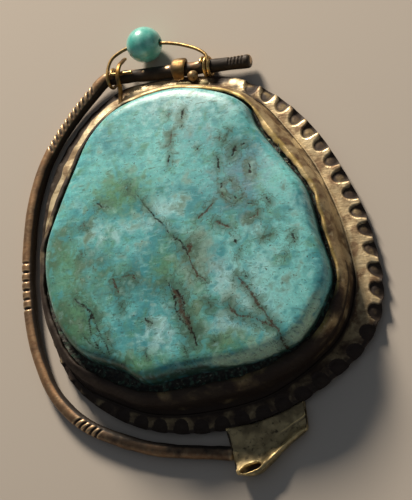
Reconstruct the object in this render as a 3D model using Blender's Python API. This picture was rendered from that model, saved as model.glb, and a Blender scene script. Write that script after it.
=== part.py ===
# A polished free-form turquoise in a bronze pendant setting, lying on its flat back.
# Lengths below are millimetres, turned to metres as each object is made; +Z is up, +Y is towards the bail.
import math

import bmesh
import bpy
import numpy as np
from mathutils import Matrix, Vector

MM = 0.001

# Where the plan's own zero goes, so that the part stands centred over the world's origin.
ORIGIN_SHIFT = (1.78, -1.37)
PLAN_CENTRE = (-1.2, 1.2)  # every outline is star-shaped about this point
AROUND = 60  # points in each row of the stone and of what fits around it
GAP = 0.05  # left between pieces that touch
CURVED_GAP = 0.08  # the same between curved sides, whose flat facets bulge into each other

# Heights above the surface that the pendant lies on
PLATE_THICKNESS = 0.45
PLATE_INSET = 0.35  # from the border's outer edge
PLATE_BEVEL = 0.12
BORDER_TOP = 1.30
RIM_HEIGHT = 4.40
PITCH_HEIGHT = 4.02
STONE_TOP = 7.30
STONE_SIDE = [  # inset from the girdle, height
    (1.1, PLATE_THICKNESS + GAP), (0.45, 1.6), (0.02, 3.3), (0.0, 4.6), (0.08, 5.35), (0.30, 5.9),
    (0.75, 6.36), (1.9, 6.70),
]
CROWN_DROP = 0.65  # how much lower the crown is at its shoulder than in the middle
CROWN_SHARES = (0.68, 0.42, 0.18)  # of the way from the middle to the shoulder
CROWN_SWELLS = [  # along, across, reach, rise: what hand polishing left uneven
    (-7.0, 8.0, 6.0, 0.10), (6.0, -6.0, 5.0, 0.08), (6.5, 7.5, 3.0, -0.16), (-6.0, -8.0, 4.5, -0.12),
]

# Plan outlines, clockwise from the top
STONE_OUTLINE = [
    (-3.0, 17.9), (1.8, 16.9), (5.4, 14.9), (6.9, 11.8), (9.9, 7.5), (12.2, 4.0), (13.5, -1.1),
    (14.75, -5.8), (13.5, -9.4), (10.9, -12.5), (6.0, -13.95), (-0.8, -14.3), (-5.5, -14.75), (-8.2, -13.1),
    (-12.6, -11.0), (-15.3, -7.8), (-17.1, -3.1), (-17.5, 1.4), (-16.3, 5.7), (-14.4, 10.2),
    (-12.3, 14.2), (-8.8, 16.9),
]
RIM_OUTLINE = [
    (-4.2, 18.8), (0.9, 18.0), (4.9, 16.3), (7.4, 12.9), (10.45, 8.5), (12.95, 4.3), (14.3, -1.3),
    (15.4, -5.7), (14.5, -9.7), (11.8, -13.1), (6.5, -15.3), (-0.5, -15.9), (-5.8, -15.95), (-9.6, -14.4),
    (-13.5, -12.1), (-16.3, -8.5), (-18.0, -3.4), (-18.35, 1.5), (-17.2, 6.2), (-15.2, 10.9),
    (-12.9, 15.0), (-9.2, 17.8),
]
FOOT_OUTLINE = [
    (-4.2, 19.6), (1.4, 18.7), (5.6, 16.6), (8.9, 12.6), (11.8, 8.2), (14.0, 3.2), (15.4, -1.6),
    (16.0, -5.6), (15.0, -9.9), (12.3, -13.1), (6.6, -16.4), (-0.5, -17.4), (-6.2, -16.9), (-10.4, -15.2),
    (-14.4, -12.8), (-17.2, -9.0), (-18.9, -3.6), (-19.2, 1.7), (-17.9, 6.6), (-15.8, 11.4),
    (-13.3, 15.6), (-9.4, 18.5),
]
BORDER_OUTLINE = [
    (-5.6, 21.35), (-0.2, 20.85), (3.9, 19.6), (8.2, 16.6), (12.4, 11.7), (15.9, 5.2), (17.7, 0.3),
    (18.9, -6.6), (17.4, -11.8), (13.0, -15.7), (7.5, -18.3), (0.9, -19.5), (-5.8, -18.8), (-11.3, -16.4),
    (-16.2, -11.9), (-19.0, -5.0), (-20.25, 3.5), (-19.1, 11.8), (-15.6, 17.8), (-11.2, 20.85),
]

# Bronze wall around the stone
COLLET_WALL = 0.42
COLLET_PROFILE = [  # share of the way from foot to rim, bulge, height
    (0.0, 0.0, PLATE_THICKNESS + GAP), (0.0, 0.0, BORDER_TOP + 0.1), (0.36, 0.02, 2.2), (0.60, 0.22, 3.1),
    (0.84, 0.20, 3.9), (1.0, 0.02, 4.25),
]
COLLET_RIM_WIDTHS = (0.14, 0.36)  # from the rim's outside in to its top edge and its inner edge
PITCH_FLOOR = 2.2
PITCH_LEAST_WIDTH = 0.12
PITCH_EDGE_RISE = 0.22  # the cement creeps up the stone and sags in the middle
PITCH_SAG = 0.12

# Edge border: scooped hollows between narrow ridges
PIT_COUNT = 54
PIT_DEPTH = 0.44
PIT_INNER = 1.60  # from the outer edge in to the round end of a hollow
PIT_ROUND_END = 0.3  # how much further in a hollow reaches at its middle than at its sides
FLANGE_LEAST = 0.25  # flat metal kept between the wall and a hollow
PIT_SECTION = ((0.0, 0.0), (0.22, 0.8), (0.5, 1.0), (0.78, 0.8))  # share of the spacing, share of the depth
PITS_LEFT_OUT = (75.0, 124.0)  # degrees around PLAN_CENTRE, where the straps cross the border
EDGE_ROUND = 0.22  # how far the border's outer edge is turned down

# Round rod, bent into a C around the left side
ROD_RADIUS = 0.76
AXIS_HEIGHT = 1.26
AXIS_START = (-12.2, 22.6)  # the rod is straight from here to its end, and the bail ring turns on it
AXIS_END = (4.7, 21.7)
ROD_ROUTE = [  # the bent stretch after that: along, across, and height of its centre
    (-13.05, 22.2, 1.22), (-14.3, 21.05, 1.1), (-16.1, 19.2, 1.0), (-18.15, 16.6, 0.92), (-19.95, 13.4, 0.85),
    (-21.1, 9.4, 0.82), (-21.6, 4.8, 0.82), (-21.6, 0.0, 0.82), (-20.95, -5.4, 0.82), (-19.6, -10.0, 0.82),
    (-17.7, -13.7, 0.82), (-14.7, -16.75, 0.82), (-10.75, -18.95, 0.82), (-5.6, -20.75, 0.84),
    (2.10, -22.06, 0.86),
]
NOTCH_DEPTH = 0.17
NOTCH_GROUPS = [  # where each group of filed notches starts and ends, and how many it has
    ((4.3, 21.7), (2.2, 21.8), 5),
    ((-13.4, 21.6), (-19.0, 15.1), 12),
    ((-21.6, 2.9), (-21.25, -3.4), 6),
    ((-15.3, -16.2), (-12.4, -18.1), 5),
]

# Wire ring and bead, in the hinge's own frame: along the rod, out from it, and up from the ring's plane
WIRE_RADIUS = 0.19
WRAP_RADIUS = ROD_RADIUS + 0.07 + WIRE_RADIUS
RING_TILT = math.radians(-3.6)
RING_ARC = [
    (0.34, 0.9), (0.62, 1.8), (1.3, 2.45), (2.6, 3.05), (4.5, 3.22), (6.6, 3.1), (8.2, 2.8), (9.7, 2.3),
    (11.0, 1.7), (12.0, 0.9),
]
RING_LEFT = 0.30
RING_RIGHT = 12.35
WRAP_PITCH = 0.47
RIGHT_TURNS = 2
STUB_END = 3.3
BEAD_RADIUS = 2.0
BEAD_HOLE = 0.42
BEAD_PLACE = (4.5, 3.18)

# Straps that hold the rod, and the small shot and solder beside them
LEFT_STRAP_ALONG = 1.8
LEFT_STRAP_WIDTH = 0.5
RIGHT_STRAP_ALONG = 8.75
RIGHT_STRAP_WIDTH = 1.6
STRAP_THICKNESS = 0.34
SADDLE_THICKNESS = 0.44
STRAP_CLEARANCE = 0.10
STRAP_EDGE = 0.55  # thickness at a strap's edges, as a share of its crown's
STRAP_SQUASH = 1.12  # the left strap's loop is wider than it is high
LEFT_STRAP_ENDS = ([(-3.3, 0.11), (-2.3, 0.2)], [(1.75, 0.2), (2.15, -0.25)])  # out from the rod, up
LEFT_STRAP_TURNS = (155, 130, 105, 80, 55, 32)  # degrees around the rod
RIGHT_STRAP_FOOT = (-1.12, 0.12)
RIGHT_STRAP_TURNS = (136, 112, 86, 60, 34, 8, -18)
SHOT_RADIUS = 0.6
SHOT_PLACE = (-1.8, 20.83)
SOLDER_BAR = ((-3.9, 20.4), (-2.1, 20.1))
SOLDER_BAR_RADIUS = 0.24
SOLDER_LUMP_PLACE = (-0.6, 19.75)
SOLDER_LUMP_SIZE = (0.62, 0.42, 0.36)

# Hammered leaf at the rod's lower end
LEAF_SECTION = [  # share of the way out, height
    (0.0, 0.2), (0.0, 1.0), (0.35, 0.9), (0.7, 1.15), (0.9, 1.65), (0.97, 1.75), (1.0, 1.5), (0.97, 0.6),
    (0.88, 0.2),
]
LEAF_UNDERSIDE = 0.2
LEAF_WAVE = 0.08  # the lip's rise and fall, as a share of its height
LEAF_TAPER = 0.45  # how much lower the lip is at the leaf's far end
LEAF_HOOD = 0.75  # mm the leaf is raised beside the rod's end
LEAF_HOOD_REACH = 0.32  # as a share of the leaf's length
# The inner edge follows the border wherever these points stand
LEAF_INNER = [(1.9, -20.0), (3.9, -19.7), (5.8, -19.3), (7.6, -18.7), (9.1, -18.0), (10.1, -17.5)]
LEAF_OUTER = [(3.05, -24.6), (4.9, -24.85), (6.4, -23.8), (7.8, -22.4), (8.9, -21.7), (10.4, -20.5)]
LEAF_HOLE_PLACE = (4.7, -24.6, 0.92)
LEAF_HOLE_SIZE = (1.25, 0.85, 0.5)
LEAF_HOLE_TURN = math.radians(14.0)

COLOURS = {  # base colour, metallic, roughness
    "turquoise": ((0.16, 0.45, 0.42), 0.0, 0.3),
    "turquoise_bead": ((0.11, 0.52, 0.45), 0.0, 0.2),
    "setting_pitch": ((0.02, 0.022, 0.018), 0.0, 0.8),
    "aged_bronze": ((0.26, 0.15, 0.06), 0.9, 0.45),
    "reddish_bronze": ((0.16, 0.085, 0.045), 0.85, 0.5),
    "brass_wire": ((0.55, 0.34, 0.11), 1.0, 0.3),
    "solder": ((0.55, 0.53, 0.36), 0.6, 0.6),
}


def clear_scene():
    for item in list(bpy.data.objects):
        bpy.data.objects.remove(item, do_unlink=True)


def spline_points(points, steps, closed):
    """Catmull-Rom curve through the given plan or space points, with `steps` samples in each stretch."""
    points = np.array(points, float)
    count = len(points)
    spans = count if closed else count - 1
    out = []
    for span in range(spans):
        if closed:
            a, b, c, d = (points[(span + k) % count] for k in (-1, 0, 1, 2))
        else:
            b, c = points[span], points[span + 1]
            a = points[span - 1] if span > 0 else 2 * b - c
            d = points[span + 2] if span + 2 < count else 2 * c - b
        for step in range(steps):
            t = step / steps
            out.append(0.5 * (2 * b + (c - a) * t + (2 * a - 5 * b + 4 * c - d) * t * t
                              + (3 * b - a - 3 * c + d) * t ** 3))
    if not closed:
        out.append(points[-1])
    return np.array(out)


def radius_of(outline):
    """The outline as a distance from PLAN_CENTRE, for any angles."""
    dense = spline_points(outline, 24, True) - np.array(PLAN_CENTRE)
    angles = np.unwrap(np.arctan2(dense[:, 1], dense[:, 0]))[::-1]
    radii = np.hypot(dense[:, 0], dense[:, 1])[::-1]
    turn = 2 * math.pi
    angles = np.concatenate([angles - turn, angles, angles + turn])
    radii = np.tile(radii, 3)
    return lambda at: np.interp((np.asarray(at) - angles[0]) % turn + angles[len(angles) // 3], angles, radii)


def ring_of(angles, radii, heights):
    """One closed row of points around PLAN_CENTRE."""
    x = PLAN_CENTRE[0] + radii * np.cos(angles)
    y = PLAN_CENTRE[1] + radii * np.sin(angles)
    return np.stack([x, y, np.broadcast_to(heights, x.shape)], axis=1)


def material(name):
    found = bpy.data.materials.get(name)
    if found:
        return found
    colour, metallic, roughness = COLOURS[name]
    made = bpy.data.materials.new(name)
    made.use_nodes = True
    shader = made.node_tree.nodes["Principled BSDF"]
    shader.inputs["Base Color"].default_value = (*colour, 1.0)
    shader.inputs["Metallic"].default_value = metallic
    shader.inputs["Roughness"].default_value = roughness
    return made


def add_object(name, data, finish, parent):
    made = bpy.data.objects.new(name, data)
    data.materials.append(material(finish))
    bpy.context.scene.collection.objects.link(made)
    made.parent = parent
    return made


def add_body(name, bm, finish, parent, sharp=40.0):
    """Turn a bmesh in millimetres into a smooth-shaded object."""
    bmesh.ops.recalc_face_normals(bm, faces=bm.faces)
    bmesh.ops.scale(bm, vec=(MM, MM, MM), verts=bm.verts)
    mesh = bpy.data.meshes.new(name)
    bm.to_mesh(mesh)
    bm.free()
    mesh.shade_smooth()
    mesh.set_sharp_from_angle(angle=math.radians(sharp))
    return add_object(name, mesh, finish, parent)


def loft(rows, wrap_rows=False):
    """Join rings of points into one body, with capped ends or with the last ring joined to the first."""
    bm = bmesh.new()
    rings = [[bm.verts.new(tuple(float(v) for v in point)) for point in row] for row in rows]
    pairs = list(zip(rings, rings[1:]))
    if wrap_rows:
        pairs.append((rings[-1], rings[0]))
    for first, second in pairs:
        for k in range(len(first)):
            after = (k + 1) % len(first)
            bm.faces.new((first[k], first[after], second[after], second[k]))
    if not wrap_rows:
        for ring in (rings[0], rings[-1]):
            middle = sum((vert.co for vert in ring), Vector()) / len(ring)
            centre = bm.verts.new(middle)
            for k in range(len(ring)):
                bm.faces.new((ring[k], ring[(k + 1) % len(ring)], centre))
    return bm


def make_stone(parent):
    """One polished stone: straight sides in the setting, a rounded shoulder and a low uneven crown."""
    angles = np.linspace(0, 2 * math.pi, AROUND, endpoint=False)
    radii = radius_of(STONE_OUTLINE)(angles)
    rows = [ring_of(angles, radii - inset, height) for inset, height in STONE_SIDE]
    rows[-1] = crown_relief(rows[-1])
    shoulder_inset = STONE_SIDE[-1][0]
    for share in CROWN_SHARES:
        height = STONE_TOP - CROWN_DROP * share ** 2
        rows.append(crown_relief(ring_of(angles, (radii - shoulder_inset) * share, height)))
    return add_body("turquoise_stone", loft(rows), "turquoise", parent, sharp=60.0)


def crown_relief(row):
    """Soft swells and dips left by hand polishing."""
    x = row[:, 0]
    y = row[:, 1]
    for cx, cy, width, rise in CROWN_SWELLS:
        row[:, 2] += rise * np.exp(-((x - cx) ** 2 + (y - cy) ** 2) / width ** 2)
    return row


def make_pitch(parent):
    """Dark setting cement between the stone and the collet's inner side."""
    angles = np.linspace(0, 2 * math.pi, AROUND, endpoint=False)
    stone = radius_of(STONE_OUTLINE)(angles) + CURVED_GAP
    wall = radius_of(RIM_OUTLINE)(angles) - COLLET_WALL - GAP
    wall = np.maximum(wall, stone + PITCH_LEAST_WIDTH)
    middle = (stone + wall) / 2
    rows = [
        ring_of(angles, stone, PITCH_FLOOR),
        ring_of(angles, wall, PITCH_FLOOR),
        ring_of(angles, wall, PITCH_HEIGHT),
        ring_of(angles, middle, PITCH_HEIGHT - PITCH_SAG),
        ring_of(angles, stone, PITCH_HEIGHT + PITCH_EDGE_RISE),
    ]
    return add_body("setting_pitch", loft(rows, wrap_rows=True), "setting_pitch", parent)


def make_collet(parent):
    """The bronze wall around the stone: a soft roll outside, a thin rim on top."""
    angles = np.linspace(0, 2 * math.pi, AROUND, endpoint=False)
    rim = radius_of(RIM_OUTLINE)(angles)
    foot = radius_of(FOOT_OUTLINE)(angles)
    inside = np.minimum(rim, foot) - COLLET_WALL
    rows = [ring_of(angles, foot + (rim - foot) * share + bulge, height)
            for share, bulge, height in COLLET_PROFILE]
    top, inner = COLLET_RIM_WIDTHS
    rows.append(ring_of(angles, rim - top, RIM_HEIGHT))
    rows.append(ring_of(angles, rim - inner, RIM_HEIGHT - 0.08))
    rows.append(ring_of(angles, inside, 2.1))
    rows.append(ring_of(angles, inside, PLATE_THICKNESS + GAP))
    return add_body("collet", loft(rows, wrap_rows=True), "aged_bronze", parent)


def make_plate(parent):
    """Flat back sheet that the pendant lies on."""
    angles = np.linspace(0, 2 * math.pi, AROUND, endpoint=False)
    edge = radius_of(BORDER_OUTLINE)(angles) - PLATE_INSET
    rows = [
        ring_of(angles, edge - PLATE_BEVEL, 0.0),
        ring_of(angles, edge, PLATE_BEVEL),
        ring_of(angles, edge, PLATE_THICKNESS),
    ]
    return add_body("base_plate", loft(rows), "aged_bronze", parent, sharp=30.0)


def pit_columns():
    """Angles of the columns across the border and how deep each one is scooped, 0 on a ridge to 1."""
    dense = np.linspace(0, 2 * math.pi, 2881)
    radii = radius_of(BORDER_OUTLINE)(dense)
    x = radii * np.cos(dense)
    y = radii * np.sin(dense)
    run = np.concatenate([[0], np.cumsum(np.hypot(np.diff(x), np.diff(y)))])
    pitch = run[-1] / PIT_COUNT
    places = []
    depths = []
    for pit in range(PIT_COUNT):
        for along, depth in PIT_SECTION:
            angle = np.interp((pit + along) * pitch, run, dense)
            start, end = (math.radians(v) for v in PITS_LEFT_OUT)
            places.append(angle)
            depths.append(0.0 if start < angle < end else depth)
    return np.array(places), np.array(depths)


def make_border(parent):
    """Flat flange around the collet whose edge is scooped into hollows that open outwards."""
    angles, depth = pit_columns()
    outer = radius_of(BORDER_OUTLINE)(angles)
    inner = radius_of(FOOT_OUTLINE)(angles) + CURVED_GAP
    base = PLATE_THICKNESS + GAP
    pit_end = np.maximum(outer - PIT_INNER + (1 - depth) * PIT_ROUND_END, inner + FLANGE_LEAST)
    rows = [
        ring_of(angles, inner, base),
        ring_of(angles, inner, BORDER_TOP),
        ring_of(angles, pit_end, BORDER_TOP),
        ring_of(angles, pit_end + (outer - pit_end) * 0.3, BORDER_TOP - PIT_DEPTH * 0.9 * depth),
        ring_of(angles, pit_end + (outer - pit_end) * 0.75, BORDER_TOP - 0.05 - PIT_DEPTH * depth),
        ring_of(angles, outer - 0.1 * depth, BORDER_TOP - EDGE_ROUND - 0.25 * depth),
        ring_of(angles, outer - EDGE_ROUND, base),
    ]
    return add_body("gadrooned_border", loft(rows, wrap_rows=True), "aged_bronze", parent, sharp=50.0)


def add_tube(name, points, radius, sides, finish, parent, scales=None):
    """A round bar or wire along the given points, closed at both ends."""
    curve = bpy.data.curves.new(name, "CURVE")
    curve.dimensions = "3D"
    curve.bevel_depth = radius * MM
    curve.bevel_resolution = sides // 2 - 2
    curve.use_fill_caps = True
    spline = curve.splines.new("POLY")
    spline.points.add(len(points) - 1)
    for k, point in enumerate(points):
        spline.points[k].co = (*(float(v) * MM for v in point), 1.0)
        spline.points[k].radius = 1.0 if scales is None else scales[k]
    spline.use_smooth = True
    return add_object(name, curve, finish, parent)


def nearest(path, place):
    return int(np.argmin(np.hypot(path[:, 0] - place[0], path[:, 1] - place[1])))


def make_rod(parent):
    """Round bronze rod in a C, with groups of notches filed around it."""
    corner = np.array((*AXIS_START, AXIS_HEIGHT))
    straight = np.linspace((*AXIS_END, AXIS_HEIGHT), corner, 200, endpoint=False)
    bent = spline_points([straight[-12], corner, *ROD_ROUTE], 60, False)[60:]
    fine = np.concatenate([straight, bent])
    run = np.concatenate([[0], np.cumsum(np.linalg.norm(np.diff(fine, axis=0), axis=1))])
    marks = {0.0: 0.8, 0.18: 1.0, run[-1] - 0.15: 1.0, run[-1]: 0.8}
    marks[run[len(straight)]] = 1.0
    marks[run[len(straight) + 25]] = 1.0
    notched = []
    for start, end, count in NOTCH_GROUPS:
        first = run[nearest(fine, start)]
        last = run[nearest(fine, end)]
        step = (last - first) / count
        notched.append((first - step / 2, last + step / 2))
        for k in range(count):
            marks[first + step * (k + 0.25)] = 1.0
            marks[first + step * (k + 0.75)] = 1.0 - NOTCH_DEPTH
    plain = np.linspace(0.6, run[-1] - 0.6, 32)
    for at in plain:
        if not any(low < at < high for low, high in notched):
            marks[at] = 1.0
    stations = sorted(marks)
    points = [[np.interp(at, run, fine[:, axis]) for axis in range(3)] for at in stations]
    scales = [marks[at] for at in stations]
    return add_tube("curved_rod", points, ROD_RADIUS, 8, "reddish_bronze", parent, scales)


def wrap(start, step, turns, count):
    """Turns of wire around the rod, from its top towards the stone and under; `step` is the pitch."""
    out = []
    for k in range(count + 1):
        turn = turns * k / count
        angle = 2 * math.pi * turn
        out.append((start + step * turn, -WRAP_RADIUS * math.sin(angle), WRAP_RADIUS * math.cos(angle)))
    return out


def make_ring(parent):
    """One wire: a cut end along the rod, a turn around it, the arc through the bead, and more turns."""
    left = wrap(RING_LEFT, WRAP_PITCH, 1.0, 12)
    stub = [(STUB_END, -0.05, WRAP_RADIUS), (STUB_END - 1.2, -0.05, WRAP_RADIUS),
            (RING_LEFT + WRAP_PITCH + 0.35, -0.06, WRAP_RADIUS)]
    arc = [(RING_LEFT, 0.0, WRAP_RADIUS)]
    arc += [(u, v, WRAP_RADIUS) for u, v in RING_ARC]
    arc.append((RING_RIGHT, 0.0, WRAP_RADIUS))
    arc = [tuple(point) for point in spline_points(arc, 2, False)]
    right = wrap(RING_RIGHT, -WRAP_PITCH, RIGHT_TURNS, 12 * RIGHT_TURNS)
    points = stub + left[::-1][:-1] + arc[:-1] + right
    return add_tube("bail_ring", points, WIRE_RADIUS, 6, "brass_wire", parent)


def make_bead(parent):
    """Round drilled bead on the wire."""
    rows = []
    hole_edge = math.asin(BEAD_HOLE / BEAD_RADIUS)
    around = np.linspace(0, 2 * math.pi, 18, endpoint=False)
    stations = [(BEAD_RADIUS * math.cos(a), BEAD_RADIUS * math.sin(a))
                for a in np.linspace(hole_edge, math.pi - hole_edge, 13)]
    stations += [(-1.2, BEAD_HOLE), (1.2, BEAD_HOLE)]
    x, y = BEAD_PLACE
    for along, out in stations:
        rows.append([(x + along, y + out * math.cos(a), WRAP_RADIUS + out * math.sin(a)) for a in around])
    return add_body("turquoise_bead", loft(rows, wrap_rows=True), "turquoise_bead", parent)


def sweep_strip(middle, width, thickness):
    """A flat strip: rectangle sections with a crowned top, set across a path of (out, up) points."""
    rows = []
    path = np.array(middle)
    for k, point in enumerate(path):
        ahead = path[min(k + 1, len(path) - 1)] - path[max(k - 1, 0)]
        ahead /= np.hypot(*ahead)
        normal = np.array([-ahead[1], ahead[0]])
        low = point
        high = point + normal * thickness
        edge = point + normal * thickness * STRAP_EDGE
        half = width / 2
        rows.append([(-half, *low), (half, *low), (half, *edge), (0.0, *high), (-half, *edge)])
    return rows


def make_left_strap(parent):
    """Narrow strap from the collet's foot over the rod, its end bent down beyond it."""
    clear = WRAP_RADIUS + WIRE_RADIUS + STRAP_CLEARANCE
    first, last = LEFT_STRAP_ENDS
    loop = [(clear * STRAP_SQUASH * math.cos(a), clear * math.sin(a)) for a in np.radians(LEFT_STRAP_TURNS)]
    rows = [[(LEFT_STRAP_ALONG + u, v, n) for u, v, n in row] for row in sweep_strip(
        first + loop + last, LEFT_STRAP_WIDTH, STRAP_THICKNESS)]
    return add_body("left_strap", loft(rows), "brass_wire", parent)


def make_right_strap(parent):
    """Wide rounded saddle over the rod."""
    clear = ROD_RADIUS + STRAP_CLEARANCE
    loop = [(clear * math.cos(a), clear * math.sin(a)) for a in np.radians(RIGHT_STRAP_TURNS)]
    rows = [[(RIGHT_STRAP_ALONG + u, v, n) for u, v, n in row] for row in sweep_strip(
        [RIGHT_STRAP_FOOT, *loop], RIGHT_STRAP_WIDTH, SADDLE_THICKNESS)]
    return add_body("right_strap", loft(rows), "brass_wire", parent)


def make_shot(parent):
    """Small ball of metal on the flange."""
    bm = bmesh.new()
    bmesh.ops.create_icosphere(bm, subdivisions=2, radius=SHOT_RADIUS)
    height = BORDER_TOP + GAP + SHOT_RADIUS * 0.97
    bmesh.ops.translate(bm, vec=(*SHOT_PLACE, height), verts=bm.verts)
    return add_body("shot_ball", bm, "aged_bronze", parent)


def make_solder_bar(parent):
    """Pale bar of solder on the flange."""
    (x0, y0), (x1, y1) = SOLDER_BAR
    height = BORDER_TOP + GAP + SOLDER_BAR_RADIUS * 1.02
    shares = ((0.0, 0.45), (0.12, 0.95), (0.4, 1.0), (0.7, 0.85), (0.9, 0.9), (1.0, 0.4))
    points = [(x0 + (x1 - x0) * share, y0 + (y1 - y0) * share, height) for share, _ in shares]
    scales = [size for _, size in shares]
    return add_tube("solder_bar", points, SOLDER_BAR_RADIUS, 6, "solder", parent, scales)


def make_solder_lump(parent):
    """Pale lump of solder at the collet's foot."""
    bm = bmesh.new()
    bmesh.ops.create_icosphere(bm, subdivisions=2, radius=1.0)
    bmesh.ops.scale(bm, vec=SOLDER_LUMP_SIZE, verts=bm.verts)
    height = BORDER_TOP + GAP + SOLDER_LUMP_SIZE[2]
    bmesh.ops.translate(bm, vec=(*SOLDER_LUMP_PLACE, height), verts=bm.verts)
    return add_body("solder_lump", bm, "solder", parent)


def make_leaf(parent):
    """Hammered leaf at the rod's end: a shallow tray whose outer edge curls up and over, with one pocket."""
    inner = spline_points(LEAF_INNER, 2, False)
    angles = np.arctan2(inner[:, 1] - PLAN_CENTRE[1], inner[:, 0] - PLAN_CENTRE[0])
    inner = ring_of(angles, radius_of(BORDER_OUTLINE)(angles) + CURVED_GAP, 0.0)[:, :2]
    outer = spline_points(LEAF_OUTER, 2, False)
    rows = []
    for k in range(len(inner)):
        along = k / (len(inner) - 1)
        lip = (1.0 + LEAF_WAVE * math.sin(k * 1.7)) * (1.0 - LEAF_TAPER * along ** 2)
        hood = LEAF_HOOD * max(0.0, 1.0 - along / LEAF_HOOD_REACH)
        row = []
        for share, height in LEAF_SECTION:
            place = inner[k] + (outer[k] - inner[k]) * share
            if height > LEAF_UNDERSIDE:
                height = LEAF_UNDERSIDE + (height - LEAF_UNDERSIDE) * (lip if share > 0.5 else 1.0)
                height += hood * (1.0 - share)
            row.append((place[0], place[1], height))
        rows.append(row)
    leaf = add_body("tail_leaf", loft(rows), "aged_bronze", parent, sharp=50.0)
    bm = bmesh.new()
    bmesh.ops.create_uvsphere(bm, u_segments=14, v_segments=8, radius=1.0)
    bmesh.ops.scale(bm, vec=LEAF_HOLE_SIZE, verts=bm.verts)
    bmesh.ops.rotate(bm, cent=(0, 0, 0), matrix=Matrix.Rotation(LEAF_HOLE_TURN, 3, "Z"), verts=bm.verts)
    bmesh.ops.translate(bm, vec=LEAF_HOLE_PLACE, verts=bm.verts)
    cutter = add_body("leaf_pocket_cutter", bm, "setting_pitch", parent)
    cutter.hide_render = True
    cutter.display_type = "WIRE"
    cut = leaf.modifiers.new("pocket", "BOOLEAN")
    cut.operation = "DIFFERENCE"
    cut.solver = "EXACT"
    cut.object = cutter
    return leaf


def hinge_frame(name, tilt, parent):
    """Empty on the rod's axis: local X runs along the rod, local Y out from it, turned up by `tilt`."""
    start = Vector((*AXIS_START, AXIS_HEIGHT))
    along = (Vector((*AXIS_END, AXIS_HEIGHT)) - start).normalized()
    out = Vector((-along.y, along.x, 0.0))
    turned = out * math.cos(tilt) + Vector((0, 0, 1)) * math.sin(tilt)
    up = along.cross(turned)
    empty = bpy.data.objects.new(name, None)
    bpy.context.scene.collection.objects.link(empty)
    empty.parent = parent
    basis = Matrix((along, turned, up)).transposed().to_4x4()
    basis.translation = start * MM
    empty.matrix_local = basis
    return empty


def main():
    clear_scene()
    origin = bpy.data.objects.new("pendant_origin", None)
    bpy.context.scene.collection.objects.link(origin)
    origin.location = (ORIGIN_SHIFT[0] * MM, ORIGIN_SHIFT[1] * MM, 0.0)
    rod_frame = hinge_frame("rod_frame", 0.0, origin)
    ring_frame = hinge_frame("ring_hinge", RING_TILT, origin)
    make_stone(origin)
    make_pitch(origin)
    make_collet(origin)
    make_plate(origin)
    make_border(origin)
    make_rod(origin)
    make_leaf(origin)
    make_left_strap(rod_frame)
    make_right_strap(rod_frame)
    make_shot(origin)
    make_solder_bar(origin)
    make_solder_lump(origin)
    make_ring(ring_frame)
    make_bead(ring_frame)


main()
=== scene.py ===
import math

import bmesh
import bpy
import numpy as np
from mathutils import Matrix, Vector


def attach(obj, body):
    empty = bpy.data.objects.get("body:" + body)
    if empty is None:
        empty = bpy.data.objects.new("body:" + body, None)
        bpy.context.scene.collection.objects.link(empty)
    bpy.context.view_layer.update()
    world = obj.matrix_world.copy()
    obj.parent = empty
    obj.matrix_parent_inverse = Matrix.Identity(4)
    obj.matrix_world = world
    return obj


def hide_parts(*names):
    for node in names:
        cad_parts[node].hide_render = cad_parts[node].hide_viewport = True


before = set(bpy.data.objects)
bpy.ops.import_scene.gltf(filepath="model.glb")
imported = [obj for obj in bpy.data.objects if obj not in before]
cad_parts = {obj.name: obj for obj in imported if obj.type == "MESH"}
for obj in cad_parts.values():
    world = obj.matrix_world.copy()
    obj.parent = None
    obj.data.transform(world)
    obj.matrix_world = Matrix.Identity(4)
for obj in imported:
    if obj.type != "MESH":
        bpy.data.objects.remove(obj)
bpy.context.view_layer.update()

# A polished turquoise in an old bronze pendant setting. Lengths are millimetres in the part's own plan,
# and each mesh is turned to metres as it is made.
mm = 0.001
planShift = np.array((1.78, -1.37, 0.0))  # where the plan's zero lies over the world's origin
planCentre = np.array((-1.2, 1.2))
flangeTop = 1.30
plateTop = 0.50

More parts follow.
